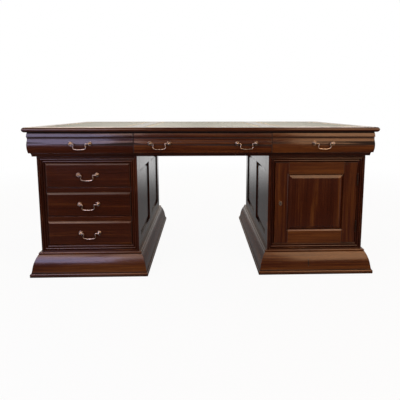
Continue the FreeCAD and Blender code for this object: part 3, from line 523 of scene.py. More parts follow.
def browned_brass(start, place, tints):
    """Brass of the hinges, gone nearly as brown as the wood."""
    tarnish = noise(place, 160.0, 4.0, 0.6)
    rubbed = ease(tarnish, 0.52, 0.74)
    base = tinted(rubbed * 0.4, tints.bronze, tints.brass_dark)
    pitted = bumped(tarnish, 0.08 * MM)
    return {"Base Color": base, "Roughness": 0.48 - rubbed * 0.14, "Metallic": 0.85, "Normal": pitted}


def steel(start, place, tints):
    """Drawn steel of the lock bolts, with fine lines along it."""
    lines = noise(place, (60.0, 2600.0, 2600.0), 2.0)
    stains = noise(place, 90.0)
    base = tinted(ease(stains, 0.4, 0.8) * 0.5, tints.steel, tints.brass_dark)
    drawn = bumped(lines, 0.02 * MM)
    return {"Base Color": base, "Roughness": 0.26 + lines * 0.16, "Metallic": 1.0, "Normal": drawn}


FINISHES = {
    "polished_wood": polished_wood, "carcass_wood": carcass_wood, "lining_wood": lining_wood,
    "leather": leather, "gilt": gilt, "brass": brass, "browned_brass": browned_brass, "steel": steel,
}


def finish(name):
    """A material by name, made the first time it is asked for."""
    known = bpy.data.materials.get("desk_" + name)
    if known:
        return known
    material, start = new_finish(name)
    sockets = FINISHES[name](start, object_place(start), bpy.context.scene.desk_colours)
    surface = start.node("ShaderNodeBsdfPrincipled", {}, sockets)
    start.node("ShaderNodeOutputMaterial", {}, {"Surface": surface})
    return material


# Boards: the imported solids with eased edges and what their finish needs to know

def solids(node):
    """The separate closed solids of a CAD node, in their order, each as points and triangles."""
    mesh = frame["nodes"][node].data
    mesh.calc_loop_triangles()
    corners = np.empty(len(mesh.loop_triangles) * 3, np.int32)
    mesh.loop_triangles.foreach_get("vertices", corners)
    places = np.empty(len(mesh.vertices) * 3, np.float32)
    mesh.vertices.foreach_get("co", places)
    points, index = np.unique(np.round(places.reshape(-1, 3).astype(float), 6), axis=0, return_inverse=True)
    triangles = index.reshape(-1)[corners].reshape(-1, 3)
    found = []
    unpaired = set()
    first = 0
    for count, (a, b, c) in enumerate(triangles.tolist(), 1):
        for edge in ((a, b), (b, c), (c, a)):
            unpaired ^= {tuple(sorted(edge))}
        if not unpaired:
            found.append((points, triangles[first:count]))
            first = count
    if unpaired:
        raise RuntimeError(f"{node} has a solid that is not closed")
    return found


def solid_box(node, number):
    """Lowest and highest corner of one solid of a node."""
    points, triangles = solids(node)[number]
    used = points[np.unique(triangles)]
    return Vector(used.min(axis=0)), Vector(used.max(axis=0))


def eased(points, triangles, rounding):
    """A solid with its sharp outer edges softened, as a bmesh."""
    shape = bmesh.new()
    used, index = np.unique(triangles, return_inverse=True)
    verts = [shape.verts.new(points[one]) for one in used]
    for a, b, c in index.reshape(-1, 3):
        if len({a, b, c}) == 3:
            shape.faces.new((verts[a], verts[b], verts[c]))
    bmesh.ops.dissolve_limit(shape, angle_limit=FLAT, verts=shape.verts, edges=shape.edges)
    sharp = [edge for edge in shape.edges if edge.is_convex and edge.calc_face_angle(0.0) > EASED]
    bmesh.ops.bevel(
        shape, geom=sharp, offset=rounding, offset_type="OFFSET", segments=2, profile=0.5,
        affect="EDGES", clamp_overlap=False,
    )
    return shape


def hollows(shape):
    """For each point of a bmesh, 1 where it lies in a long inner corner and 0 elsewhere."""
    shape.normal_update()
    shape.verts.index_update()
    found = [0.0] * len(shape.verts)
    for edge in shape.edges:
        bent = not edge.is_convex and edge.calc_face_angle(0.0) > EASED
        if bent and edge.calc_length() > LEAST_HOLLOW:
            for vert in edge.verts:
                found[vert.index] = 1.0
    return found


class Gather:
    """Collects solids into one mesh, with each board's grain, edges, hollows and tone kept on its points."""

    def __init__(self, name):
        self.name = name
        self.random = random.Random(name)
        self.points = []
        self.faces = []
        self.face_finishes = []
        self.finishes = []
        self.kept = {"grain": [], "low": [], "high": [], "ends": [], "hollow": [], "tone": []}

    def add(self, shape, finish_name, tone=0.0, spread=0.0):
        """Adds one bmesh and frees it; the grain runs along its longest side."""
        places = np.array([vert.co for vert in shape.verts])
        low, high = places.min(axis=0), places.max(axis=0)
        order = np.argsort(-(high - low) * UPRIGHT)
        shift = np.array([self.random.uniform(0.0, GRAIN_SPAN) for _ in order])
        board_tone = tone + self.random.uniform(-spread, spread)
        first = len(self.points)
        self.points.extend(places.tolist())
        self.kept["grain"].extend((places[:, order] - low[order] + shift).tolist())
        self.kept["low"].extend((places - low).tolist())
        self.kept["high"].extend((high - places).tolist())
        along = (places - low)[:, order[0]]
        to_end = (high - places)[:, order[0]]
        self.kept["ends"].extend(np.stack((along, to_end, along * 0.0), axis=1).tolist())
        self.kept["hollow"].extend(hollows(shape))
        self.kept["tone"].extend([board_tone] * len(places))
        if finish_name not in self.finishes:
            self.finishes.append(finish_name)
        shape.verts.index_update()
        for face in shape.faces:
            self.faces.append([first + vert.index for vert in face.verts])
            self.face_finishes.append(self.finishes.index(finish_name))
        shape.free()

    def mesh(self):
        """The gathered mesh, smooth where it is round and flat where it is flat."""
        made = bpy.data.meshes.new(self.name)
        made.from_pydata(self.points, [], self.faces)
        for name, values in self.kept.items():
            if name in ("hollow", "tone"):
                made.attributes.new(name, "FLOAT", "POINT").data.foreach_set("value", values)
            else:
                kept = made.attributes.new(name, "FLOAT_VECTOR", "POINT")
                kept.data.foreach_set("vector", np.array(values).ravel())
        for name in self.finishes:
            made.materials.append(finish(name))
        made.polygons.foreach_set("material_index", self.face_finishes)
        made.shade_smooth()
        made.set_sharp_from_angle(angle=CREASE)
        return plain_mesh(self.name, made, weigh_normals)


def weigh_normals(holder):
    """Lets the large faces lead the shading at the eased edges."""
    modifier = holder.modifiers.new("normals", "WEIGHTED_NORMAL")
    modifier.keep_sharp = True
    modifier.weight = 60


def plain_mesh(name, mesh, add_modifiers):
    """The plain mesh that is left after a mesh has been through its modifiers."""
    holder = bpy.data.objects.new(name, mesh)
    bpy.context.scene.collection.objects.link(holder)
    add_modifiers(holder)
    view = bpy.context.evaluated_depsgraph_get()
    changed = holder.evaluated_get(view)
    made = bpy.data.meshes.new_from_object(changed, preserve_all_data_layers=True, depsgraph=view)
    bpy.data.objects.remove(holder)
    bpy.data.meshes.remove(mesh)
    made.name = name
    return made


def seat(name, mesh, node, stands_for=True):
    """Puts a finished mesh on the body of a CAD node, in its place or beside it."""
    piece = bpy.data.objects.new(name, mesh)
    bpy.context.scene.collection.objects.link(piece)
    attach(piece, BODY_OF[node])
    if stands_for:
        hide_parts(node)
    return piece


def dress(node, rounding, finish_of, tone=0.0, tones=None, spread=0.05):
    """Replaces a CAD node by its eased boards; finish_of gives a finish for each board's number.

    A board is as light as the tone says, or as its own number in tones does, give or take the spread.
    """
    gathered = Gather("finished_" + node)
    for number, (points, triangles) in enumerate(solids(node)):
        board_tone = (tones or {}).get(number, tone)
        gathered.add(eased(points, triangles, rounding), finish_of(number), board_tone, spread)
    return seat(gathered.name, gathered.mesh(), node)


def all_of(finish_name):
    """A finish for every board of a node."""
    return lambda number: finish_name


def shown(numbers, otherwise):
    """Polished wood for the boards that show, another finish for the rest."""
    return lambda number: "polished_wood" if number in numbers else otherwise


def nodes_ending(*endings):
    """CAD nodes whose names end in one of these words."""
    return [node for node in NODES if node.endswith(endings)]


# Node trees: shapes that repeat or follow a path

def new_tree(name, numbers, vector):
    """A geometry tree with inputs for numbers and one vector; gives the tree and the wires of its inputs."""
    tree = bpy.data.node_groups.new(name, "GeometryNodeTree")
    inputs = {"Geometry": "Geometry", **dict.fromkeys(numbers, "Float"), vector: "Vector"}
    tree.interface.new_socket("Geometry", in_out="OUTPUT", socket_type="NodeSocketGeometry")
    for title, kind in inputs.items():
        tree.interface.new_socket(title, in_out="INPUT", socket_type="NodeSocket" + kind)
    group = Wire(tree).node("NodeGroupInput")
    return tree, {title: group.beside(title) for title in inputs}


def close_tree(shape, finish_name):
    """Ends a tree with real geometry in its finish."""
    real = shape.node("GeometryNodeRealizeInstances", {}, {0: shape})
    smooth = shape.node("GeometryNodeSetShadeSmooth", {}, {0: real})
    done = shape.node("GeometryNodeSetMaterial", {}, {0: smooth, "Material": finish(finish_name)})
    shape.node("NodeGroupOutput", {}, {0: done})


def grow(name, tree, values, points=()):
    """The plain mesh that a tree makes from seed points and its inputs: values, or sizes of the same name."""
    sizes = bpy.context.scene.desk_sizes
    seed = bpy.data.meshes.new(name)
    seed.from_pydata(points, [], [])

    def add_tree(holder):
        modifier = holder.modifiers.new(name, "NODES")
        modifier.node_group = tree
        for item in tree.interface.items_tree:
            if item.in_out == "INPUT" and item.name != "Geometry":
                value = values[item.name] if item.name in values else getattr(sizes, item.name)
                modifier[item.identifier] = value

    return plain_mesh(name, seed, add_tree)


def bail_tree():
    """A bail: six corners filleted into a path, swept with a wire that swells at the grip."""
    tree, given = new_tree("bail", (
        "half_spacing", "bail_shoulder", "bail_half_width", "bail_drop", "shoulder_bend", "grip_bend",
        "grip_sag", "wire", "grip_swell", "leg_taper",
    ), "pivot")
    start = Wire(tree)
    from_middle = start.node("GeometryNodeInputIndex") - 2.5
    side = start.combine("SIGN", from_middle, 0.0)
    rank = start.combine("ABSOLUTE", from_middle, 0.0)
    outer = start.combine("GREATER_THAN", rank, 2.0)
    grip = start.combine("LESS_THAN", rank, 1.0)
    elbow = 1 - outer - grip
    reach = given["half_spacing"] * outer + given["bail_shoulder"] * elbow + given["bail_half_width"] * grip
    place = start.node("ShaderNodeCombineXYZ", {}, {"X": side * reach, "Z": 0 - given["bail_drop"] * grip})
    line = start.node("GeometryNodeCurvePrimitiveLine", {}, {"End": (1.0, 0.0, 0.0)})
    corners = start.node("GeometryNodeResampleCurve", {}, {"Curve": line, "Count": 6})
    path = start.node("GeometryNodeSetPosition", {}, {"Geometry": corners, "Position": place})
    bend = {"Radius": given["shoulder_bend"] * elbow + given["grip_bend"] * grip}
    path = start.node("GeometryNodeFilletCurve", {"mode": "POLY"}, {"Curve": path, "Count": 8, **bend})
    path = start.node("GeometryNodeResampleCurve", {}, {"Curve": path, "Count": 72})
    middle = start.combine("ABSOLUTE", start.node("GeometryNodeSplineParameter") - 0.5, 0.0)
    grip = 1 - ease(middle, 0.02, 0.20)
    sagging = start.node("ShaderNodeCombineXYZ", {}, {"Z": 0 - given["grip_sag"] * grip})
    path = start.node("GeometryNodeSetPosition", {}, {"Geometry": path, "Offset": sagging})
    legs = ease(middle, 0.14, 0.26) * (1 - ease(middle, 0.34, 0.44))
    thick = 1 + given["grip_swell"] * grip - given["leg_taper"] * legs
    path = start.node("GeometryNodeSetCurveRadius", {}, {"Curve": path, "Radius": thick})
    ring = start.node("GeometryNodeCurvePrimitiveCircle", {}, {"Resolution": 14, "Radius": given["wire"]})
    swept = {"Curve": path, "Profile Curve": ring, "Fill Caps": True}
    tube = start.node("GeometryNodeCurveToMesh", {}, swept)
    bail = start.node("GeometryNodeTransform", {}, {"Geometry": tube, "Translation": given["pivot"]})
    close_tree(bail, "brass")
    return tree


def tooling_tree():
    """Gilt lines round a leather panel with a row of lozenges between them."""
    tree, given = new_tree("gilt_tooling", (
        "width", "depth", "gilt_margin", "gilt_band", "gilt_line", "gilt_height", "lozenge", "lozenge_pitch",
    ), "centre")
    start = Wire(tree)

    def rectangle(wide, tall):
        sides = {"Width": wide, "Height": tall}
        return start.node("GeometryNodeCurvePrimitiveQuadrilateral", {"mode": "RECTANGLE"}, sides)

    def outline(inset):
        return rectangle(given["width"] - 2 * inset, given["depth"] - 2 * inset)

    def line(inset, wide):
        ribbon = {"Curve": outline(inset), "Profile Curve": rectangle(wide, given["gilt_height"])}
        return start.node("GeometryNodeCurveToMesh", {}, ribbon)

    inner = given["gilt_margin"] + given["gilt_band"]
    middle = given["gilt_margin"] + given["gilt_band"] * 0.5
    row = start.node("GeometryNodeCurveToPoints", {"mode": "LENGTH"}, {
        "Curve": outline(middle), "Length": given["lozenge_pitch"],
    })
    stamp = start.node("GeometryNodeMeshCylinder", {"fill_type": "NGON"}, {
        "Vertices": 4, "Radius": given["lozenge"] * 0.5, "Depth": given["gilt_height"],
    }, "Mesh")
    slim = start.node("ShaderNodeCombineXYZ", {}, {"X": 0.5, "Y": 1.0, "Z": 1.0})
    turn = start.node("FunctionNodeAlignRotationToVector", {"axis": "Y"}, {"Vector": row.beside("Tangent")})
    stamps = start.node("GeometryNodeInstanceOnPoints", {}, {
        "Points": row, "Instance": stamp, "Rotation": turn, "Scale": slim,
    })
    lines = start.node("GeometryNodeJoinGeometry")
    joined = lines.socket.node
    outer_line = line(given["gilt_margin"], given["gilt_line"])
    inner_line = line(inner, given["gilt_line"] * 0.5)
    for piece in (outer_line, inner_line, stamps):
        tree.links.new(piece.socket, joined.inputs[0])
    tooling = start.node("GeometryNodeTransform", {}, {"Geometry": lines, "Translation": given["centre"]})
    close_tree(tooling, "gilt")
    return tree


def screw_tree(metal):
    """Slotted screw heads at the seed points, each with its slot turned its own way."""
    tree, given = new_tree("screws", ("radius", "screw_rise"), "facing")
    start = Wire(tree)
    head = start.node("GeometryNodeMeshCylinder", {"fill_type": "NGON"}, {
        "Vertices": 16, "Radius": given["radius"], "Depth": given["screw_rise"] * 2,
    }, "Mesh")
    slot_size = start.node("ShaderNodeCombineXYZ", {}, {
        "X": given["radius"] * 3, "Y": given["radius"] * 0.3, "Z": given["screw_rise"] * 1.4,
    })
    slot = start.node("GeometryNodeMeshCube", {}, {"Size": slot_size}, "Mesh")
    raised = start.node("ShaderNodeCombineXYZ", {}, {"Z": given["screw_rise"]})
    slot = start.node("GeometryNodeTransform", {}, {"Geometry": slot, "Translation": raised})
    pair = {"Mesh 1": head, "Mesh 2": slot}
    cut = start.node("GeometryNodeMeshBoolean", {"operation": "DIFFERENCE"}, pair, "Mesh")
    facing = start.node("FunctionNodeAlignRotationToVector", {"axis": "Z"}, {"Vector": given["facing"]})
    spin = start.node("FunctionNodeRandomValue", {"data_type": "FLOAT"}, {2: -0.6, 3: 0.9, "Seed": 11}, 1)
    twist = start.node("FunctionNodeAxisAngleToRotation", {}, {"Axis": (0.0, 0.0, 1.0), "Angle": spin})
    turn = start.node("FunctionNodeRotateRotation", {"rotation_space": "LOCAL"}, {0: facing, 1: twist})
    heads = start.node("GeometryNodeInstanceOnPoints", {}, {
        "Points": given["Geometry"], "Instance": cut, "Rotation": turn,
    })
    close_tree(heads, metal)
    return tree


# Leather panels and handle posts, which have shapes of their own

def leather_sheet(low, high, sizes):
    """One leather panel as a thin slab, its rim rolled down into the recess."""
    shape = bmesh.new()
    bmesh.ops.create_grid(shape, x_segments=LEATHER_STEPS[0], y_segments=LEATHER_STEPS[1], size=0.5)
    size = high - low
    for vert in shape.verts:
        across, along = (0.5 + 0.5 * math.sin(math.pi * one) for one in vert.co.xy)
        rim = min(across * size.x, along * size.y, (1 - across) * size.x, (1 - along) * size.y)
        drop = sizes.leather_roll * max(0.0, 1 - rim / sizes.leather_roll_width) ** 2
        vert.co = (low.x + across * size.x, low.y + along * size.y, high.z - drop)
    rims = [edge for edge in shape.edges if edge.is_boundary]
    wall = bmesh.ops.extrude_edge_only(shape, edges=rims)["geom"]
    for vert in wall:
        if isinstance(vert, bmesh.types.BMVert):
            vert.co.z = low.z
    bmesh.ops.contextual_create(shape, geom=[edge for edge in shape.edges if edge.is_boundary])
    bmesh.ops.recalc_face_normals(shape, faces=shape.faces)
    return shape


def arc(middle, radii, start, end, count):
    """Points on part of an ellipse, from a pair of radii and two angles in degrees."""
    wide, tall = radii
    turns = (math.radians(start + (end - start) * step / count) for step in range(count + 1))
    return [(middle[0] + wide * math.cos(turn), middle[1] + tall * math.sin(turn)) for turn in turns]


def post_outline(sizes, through):
    """Half outline of a handle post, from the end of its shank to the tip of its ball."""
    rim = 1.1 * MM
    dome = 5.6 * MM
    collar = (1.2 * MM, 0.8 * MM)
    collar_drop = 0.4 * MM
    tip = (1.9 * MM, 0.9 * MM)
    shoulder = sizes.rosette - 2 * rim - sizes.neck
    ball_foot = sizes.post_reach - sizes.ball
    outline = [(0.0, -through), (sizes.shank, -through), (sizes.shank, 0.0), (sizes.rosette, 0.0)]
    outline += arc((sizes.rosette - rim, rim), (rim, rim), 0, 90, 4)
    outline += arc((sizes.neck, 1.5 * rim), (shoulder, dome), 0, 80, 8)
    outline += arc((sizes.neck, ball_foot - collar_drop), collar, -80, 80, 4)
    outline += arc((0.0, sizes.post_reach), (sizes.ball, sizes.ball), -56, 74, 14)
    outline += arc((0.0, sizes.post_reach + sizes.ball), tip, -20, 90, 4)
    return outline


def lathe(outline, sides):
    """A closed round solid turned from a half outline that starts and ends on its axis."""
    shape = bmesh.new()
    rings = []
    turns = [2 * math.pi * side / sides for side in range(sides)]
    for radius, height in outline[1:-1]:
        ring = [(radius * math.cos(turn), radius * math.sin(turn), height) for turn in turns]
        rings.append([shape.verts.new(place) for place in ring])
    tips = [shape.verts.new((0.0, 0.0, outline[number][1])) for number in (0, -1)]
    for side in range(sides):
        after = (side + 1) % sides
        shape.faces.new((tips[0], rings[0][after], rings[0][side]))
        shape.faces.new((tips[1], rings[-1][side], rings[-1][after]))
        for low, high in zip(rings, rings[1:]):
            shape.faces.new((low[side], low[after], high[after], high[side]))
    return shape


def nut_shape(sizes, bottom):
    """A six-sided nut with chamfered corners, standing on a height."""
    corner = sizes.nut / math.sqrt(3)
    chamfer = 0.6 * MM
    top = bottom + sizes.nut_height
    outline = [
        (0.0, bottom), (corner - chamfer, bottom), (corner, bottom + chamfer / 2),
        (corner, top - chamfer / 2), (corner - chamfer, top), (0.0, top),
    ]
    return lathe(outline, 6)


def handle_posts(node, sizes):
    """The posts of a drawer's handles with their nuts inside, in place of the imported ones."""
    low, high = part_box(node)
    gathered = Gather("finished_" + node)
    drawer = BODY_OF[node]
    for joint in BAIL_JOINTS.values():
        if joint["parent"] != drawer:
            continue
        pivot = Vector(joint["pos_m"])
        outward = -1 if node.startswith("front") else 1
        face = pivot.y - outward * sizes.post_reach
        through = abs((high.y if outward < 0 else low.y) - face)
        for side in (-0.5, 0.5):
            foot = Vector((pivot.x + side * sizes.post_spacing, face, pivot.z))
            place = Matrix.Translation(foot) @ Matrix.Rotation(-outward * math.pi / 2, 4, "X")
            nut_bottom = -(through - sizes.shank_stub)
            for shape in (lathe(post_outline(sizes, through), POST_SIDES), nut_shape(sizes, nut_bottom)):
                bmesh.ops.transform(shape, matrix=place, verts=shape.verts)
                gathered.add(shape, "brass")
    return seat(gathered.name, gathered.mesh(), node)


# Operators: one for each piece or group of like pieces

class DESK_OT_top(Operator):
    """Finish the wooden border, cross bands and core board of the top"""

    bl_idname = "desk.top"
    bl_label = "Finish Top"

    def execute(self, context):
        sizes = context.scene.desk_sizes
        dress("top_borders_and_bands", sizes.wood_rounding, all_of("polished_wood"))
        dress("top_core_board", sizes.lining_rounding, all_of("carcass_wood"))
        return {"FINISHED"}


class DESK_OT_leather(Operator):
    """Lay the leather panels and tool their gilt lines"""

    bl_idname = "desk.leather"
    bl_label = "Lay Leather"

    def execute(self, context):
        sizes = context.scene.desk_sizes
        tree = tooling_tree()
        for number in range(1, len(solids("leather_panels")) + 1):
            low, high = solid_box("leather_panels", number - 1)
            gathered = Gather(f"leather_panel_{number}")
            gathered.add(leather_sheet(low, high, sizes), "leather")
            sheet = seat(gathered.name, gathered.mesh(), "leather_panels")
            centre = (low + high) / 2
            centre.z = high.z + sizes.gilt_height / 2
            lines = grow(f"gilt_tooling_{number}", tree, {
                "width": high.x - low.x, "depth": high.y - low.y, "centre": centre,
            })
            tooling = seat(lines.name, lines, "leather_panels", stands_for=False)
        return {"FINISHED"}


class DESK_OT_frieze(Operator):
    """Finish the moulded frieze ends, its strips and what carries its drawers"""

    bl_idname = "desk.frieze"
    bl_label = "Finish Frieze"

    def execute(self, context):
        sizes = context.scene.desk_sizes
        dress("frieze_ends", sizes.wood_rounding, shown(FRIEZE_MOULDINGS, "carcass_wood"))
        # The strips that show are darkened as painted shade
        shaded = dict.fromkeys(FRIEZE_STRIPS, STRIP_PAINTED_SHADE)
        strips = shown(FRIEZE_STRIPS, "carcass_wood")
        dress("frieze_rails_and_runners", sizes.wood_rounding, strips, tones=shaded)
        return {"FINISHED"}


class DESK_OT_pedestals(Operator):
    """Finish the panelled sides, face frames, plinths and inner boards of both pedestals"""

    bl_idname = "desk.pedestals"
    bl_label = "Finish Pedestals"

    def execute(self, context):
        sizes = context.scene.desk_sizes
        # Sides and face frames are darker, the face frames partly as painted shade
        for node in nodes_ending("_pedestal_sides", "_face_frames"):
            dress(node, sizes.wood_rounding, all_of("polished_wood"), PEDESTAL_TONE_AND_SHADE)
        for node in nodes_ending("_plinth"):
            dress(node, sizes.wood_rounding, all_of("polished_wood"), PLINTH_TONE)
        for node in nodes_ending("_boards_and_runners"):
            dress(node, sizes.lining_rounding, shown(DRAWER_RAILS, "carcass_wood"))
        return {"FINISHED"}


class DESK_OT_drawers(Operator):
    """Finish the fronts and boxes of all drawers"""

    bl_idname = "desk.drawers"
    bl_label = "Finish Drawers"

    def execute(self, context):
        sizes = context.scene.desk_sizes
        for node in nodes_ending("_drawer"):
            front = {DRAWER_FRONT: FRONT_TONES.get(node.split("_", 1)[1], 0.0)}
            dress(node, sizes.wood_rounding, shown((DRAWER_FRONT,), "lining_wood"), tones=front, spread=0.03)
        return {"FINISHED"}


class DESK_OT_doors(Operator):
    """Finish the two cupboard doors"""

    bl_idname = "desk.doors"
    bl_label = "Finish Doors"

    def execute(self, context):
        sizes = context.scene.desk_sizes
        for node in nodes_ending("_door"):
            dress(node, sizes.wood_rounding, all_of("polished_wood"), tones=RAIL_TONES, spread=0.02)
        return {"FINISHED"}


class DESK_OT_handles(Operator):
    """Make the handle posts and the bails that swing in them"""

    bl_idname = "desk.handles"
    bl_label = "Make Handles"

    def execute(self, context):
        sizes = context.scene.desk_sizes
        for node in nodes_ending("_posts"):
            handle_posts(node, sizes)
        tree = bail_tree()
        for node, joint in BAIL_JOINTS.items():
            low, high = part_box(node)
            bail = grow("finished_" + node, tree, {
                "half_spacing": (high.x - low.x) / 2, "pivot": joint["pos_m"],
            })
            seat(bail.name, bail, node)
        return {"FINISHED"}


def leaf_screws(leaves, axis, side, facing, sizes):
    """Where the screws sit on a door's hinge leaves: three to a leaf, in a zigzag."""
    points = []
    for number in range(len(solids(leaves))):
        low, high = solid_box(leaves, number)
        middle = (low.z + high.z) / 2
        for row, share_out in LEAF_SCREWS:
            points.append((
                axis[0] - facing * sizes.leaf_gap, axis[1] + side * share_out * sizes.leaf_reach,
                middle + row * (high.z - low.z),
            ))
    return points


class DESK_OT_hinges(Operator):
    """Finish the door hinges and put screws in their leaves"""

    bl_idname = "desk.hinges"
    bl_label = "Finish Hinges"

    def execute(self, context):
        sizes = context.scene.desk_sizes
        for node in nodes_ending("_hinge_leaves", "_leaves_and_pins"):
            dress(node, sizes.metal_rounding, all_of("browned_brass"))
        tree = screw_tree("browned_brass")
        for door, joint in DOOR_JOINTS.items():
            side = 1 if joint["pos_m"][0] > 0 else -1
            leaves = door + "_hinge_leaves"
            ways = ((leaves, leaves, side), (door + "_frame", "hinge_frame_leaves_and_pins", -side))
            for name, node, facing in ways:
                points = leaf_screws(leaves, joint["pos_m"], side, facing, sizes)
                values = {"radius": sizes.screw, "facing": (facing, 0.0, 0.0)}
                screws = grow(name + "_screws", tree, values, points)
                seat(screws.name, screws, node, stands_for=False)
        return {"FINISHED"}


class DESK_OT_locks(Operator):
    """Finish the door locks, their keyhole plates and bolts"""

    bl_idname = "desk.locks"
    bl_label = "Finish Locks"

    def execute(self, context):
        sizes = context.scene.desk_sizes
        for node in nodes_ending("_lock"):
            dress(node, sizes.metal_rounding, all_of("brass"))
            self.fasten(node, sizes)
        for node in nodes_ending("_bolt"):
            dress(node, sizes.metal_rounding, all_of("steel"))
        return {"FINISHED"}

    def fasten(self, node, sizes):
        """Puts screws in the corners of a lock's case and pins in its keyhole plate."""
        outward = -1 if node.startswith("front") else 1
        holds = (
            ("screws", 0, -outward, sizes.screw, (sizes.screw_inset, sizes.screw_inset)),
            ("pins", 1, outward, sizes.pin, (None, sizes.pin_inset)),
        )
        tree = screw_tree("brass")
        for name, number, facing, radius, (inset_x, inset_z) in holds:
            low, high = solid_box(node, number)
            across = [(low.x + high.x) / 2] if inset_x is None else [low.x + inset_x, high.x - inset_x]
            face = high.y if facing > 0 else low.y
            points = [(x, face, z) for x in across for z in (low.z + inset_z, high.z - inset_z)]
            heads = grow(f"{node}_{name}", tree, {"radius": radius, "facing": (0.0, facing, 0.0)}, points)
            seat(heads.name, heads, node, stands_for=False)


def seen_rays(start):
    """Two switches: rays from the camera, and those that gloss or glass has turned."""
    path = start.node("ShaderNodeLightPath", out="Is Camera Ray")
    turned = smaller(path.beside("Is Glossy Ray") + path.beside("Is Transmission Ray"), 1.0)
    return path, (1 - path) * turned


def pale_floor(stage, tints):
    """A plain pale floor that is near white to the camera and keeps the desk's shadow; in reflections it
    glows, with the desk's shadow painted in.
    """
    material, start = new_finish("pale_floor")
    place = object_place(start)
    away = far(place)
    in_front = ease(0 - split(place).beside("Y"), 0.8, 2.0)
    in_view = stage.floor_wash + (1 - stage.floor_wash) * ease(away, 1.6, 4.5)
    # In reflections the floor glows, with a painted shadow near the desk and darker on the camera's side
    reflected_level_with_painted_shadow = (1 - stage.floor_dark * (1 - ease(away, 1.2, 4.0))) * (1 - stage.room_dark * in_front)
    viewed, turned = seen_rays(start)
    lit = start.node("ShaderNodeBsdfDiffuse", {}, {"Color": (*tints.floor, 1.0)})
    white = start.node("ShaderNodeEmission", {}, {"Strength": viewed + turned * reflected_level_with_painted_shadow})
    mixed = start.node("ShaderNodeMixShader", {}, {0: viewed * in_view + turned, 1: lit, 2: white})
    start.node("ShaderNodeOutputMaterial", {}, {"Surface": mixed})
    return material


def studio_world(stage, tints):
    """Soft light from all around, white in view, with a dimmer room behind the camera in reflections."""
    world = bpy.data.worlds.new("studio")
    world.use_nodes = True
    world.node_tree.nodes.clear()
    start = Wire(world.node_tree)
    way = start.node("ShaderNodeTexCoord", out="Generated")
    in_front = ease(0 - split(way).beside("Y"), -0.5, 0.2)
    viewed, turned = seen_rays(start)
    strength = viewed + turned * (1 - stage.room_dark * in_front) + (1 - viewed - turned) * stage.ambient
    tint = tinted(turned, (1.0, 1.0, 1.0), tints.room)
    glow = start.node("ShaderNodeBackground", {}, {"Color": tint, "Strength": strength})
    start.node("ShaderNodeOutputWorld", {}, {"Surface": glow})
    return world


COOL = (0.50, 0.58, 1.00)
ROSY = (1.00, 0.78, 0.66)
WARM = (1.00, 0.70, 0.42)
PALE = (1.00, 0.92, 0.84)
LAMPS = (
    # name, place and size in metres, power in watts, tint, and whether it leaves the leather out
    ("window", (-1.60, -2.60, 1.10), (1.4, 0.9), 46.0, COOL, True),
    ("left_upper_panel", (-1.75, -2.50, 2.20), (1.1, 1.1), 23.0, ROSY, True),
    ("left_inner_panel", (-0.85, -2.75, 1.90), (0.5, 1.5), 14.0, ROSY, True),
    ("front_panel", (0.00, -3.00, 1.70), (1.8, 1.2), 5.0, PALE, True),
    ("right_panel", (1.55, -2.60, 1.60), (1.3, 2.0), 60.0, WARM, True),
    ("left_box", (-1.50, -2.00, 3.00), (1.2, 1.2), 16.0, PALE, False),
    ("right_box", (1.50, -2.00, 3.00), (1.2, 1.2), 16.0, PALE, False),
    ("back_left_box", (0.80, 2.40, 2.40), (1.5, 1.2), 26.0, PALE, False),
    ("back_right_box", (-0.80, 2.40, 2.40), (1.5, 1.2), 26.0, PALE, False),
    ("back_left_panel", (1.70, 2.40, 2.20), (1.1, 1.0), 34.0, ROSY, True),
    ("back_right_panel", (-1.70, 2.40, 2.20), (1.1, 1.0), 34.0, ROSY, True),
)
LAMP_AIM = Vector((0.0, 0.0, 0.45))


def kept_dark(pieces):
    """A collection of pieces that a lamp leaves out."""
    group = bpy.data.collections.new("not_lit_by_panels")
    for piece in pieces:
        group.objects.link(piece)
    for member in group.collection_objects:
        member.light_linking.link_state = "EXCLUDE"
    return group


def add_lamp(name, place, size, power, tint, left_out):
    """A soft rectangular lamp that looks at the middle of the desk and leaves some pieces out."""
    lamp = bpy.data.lights.new(name, "AREA")
    lamp.shape = "RECTANGLE"
    lamp.size, lamp.size_y = size
    lamp.energy = power
    lamp.color = tint
    holder = bpy.data.objects.new(name, lamp)
    holder.location = place
    holder.rotation_euler = (LAMP_AIM - Vector(place)).to_track_quat("-Z", "Y").to_euler()
    holder.light_linking.receiver_collection = left_out
    bpy.context.scene.collection.objects.link(holder)


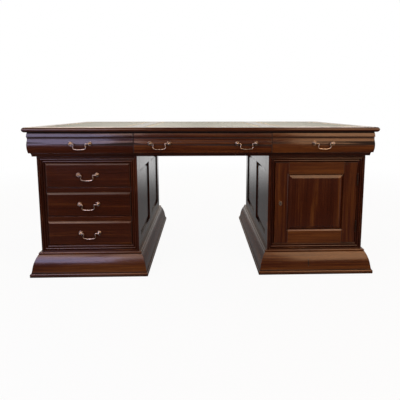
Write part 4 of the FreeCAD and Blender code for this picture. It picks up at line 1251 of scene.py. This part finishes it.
class DESK_OT_stage(Operator):
    """Set the camera, floor, world and lamps"""

    bl_idname = "desk.stage"
    bl_label = "Set Stage"

    def execute(self, context):
        scene = context.scene
        stage = scene.desk_stage
        scene.view_settings.view_transform = "Standard"
        camera = bpy.data.cameras.new("photo_camera")
        camera.sensor_width = 36.0
        camera.lens = stage.lens
        camera.shift_x = stage.shift_right
        camera.shift_y = stage.shift_up
        holder = bpy.data.objects.new("photo_camera", camera)
        holder.location = stage.camera_place
        holder.rotation_euler = stage.camera_turn
        scene.collection.objects.link(holder)
        scene.camera = holder
        floor_half = 20.0
        shape = bmesh.new()
        bmesh.ops.create_grid(shape, x_segments=2, y_segments=2, size=floor_half)
        mesh = bpy.data.meshes.new("floor")
        shape.to_mesh(mesh)
        shape.free()
        mesh.materials.append(pale_floor(stage, scene.desk_colours))
        floor = bpy.data.objects.new("floor", mesh)
        scene.collection.objects.link(floor)
        scene.world = studio_world(stage, scene.desk_colours)
        leathers = kept_dark([piece for piece in scene.objects if piece.name.startswith("leather_panel_")])
        for name, place, size, power, tint, spares_leather in LAMPS:
            add_lamp(name, place, size, power * stage.lamp_level, tint, leathers if spares_leather else None)
        return {"FINISHED"}


STEPS = (
    DESK_OT_top, DESK_OT_leather, DESK_OT_frieze, DESK_OT_pedestals, DESK_OT_drawers, DESK_OT_doors,
    DESK_OT_handles, DESK_OT_hinges, DESK_OT_locks, DESK_OT_stage,
)
GROUPS = {"desk_colours": DeskColours, "desk_sizes": DeskSizes, "desk_stage": DeskStage}


class DESK_PT_finish(Panel):
    """Sizes, colours and steps of the desk's finish"""

    bl_idname = "DESK_PT_finish"
    bl_label = "Partners Desk"
    bl_space_type = "VIEW_3D"
    bl_region_type = "UI"
    bl_category = "Desk"

    def draw(self, context):
        for step in STEPS:
            self.layout.operator(step.bl_idname)
        for name, group in GROUPS.items():
            box = self.layout.box()
            for prop in group.__annotations__:
                box.prop(getattr(context.scene, name), prop)


CLASSES = (*GROUPS.values(), *STEPS, DESK_PT_finish)


def register():
    """Registers the classes and hangs the settings on the scene."""
    for one in CLASSES:
        bpy.utils.register_class(one)
    for name, group in GROUPS.items():
        setattr(bpy.types.Scene, name, PointerProperty(type=group))


def unregister():
    """Takes the settings and classes away again."""
    for name in GROUPS:
        delattr(bpy.types.Scene, name)
    for one in reversed(CLASSES):
        bpy.utils.unregister_class(one)


def main():
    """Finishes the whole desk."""
    register()
    for step in STEPS:
        group, name = step.bl_idname.split(".")
        getattr(getattr(bpy.ops, group), name)()


if __name__ == "__main__":
    main()
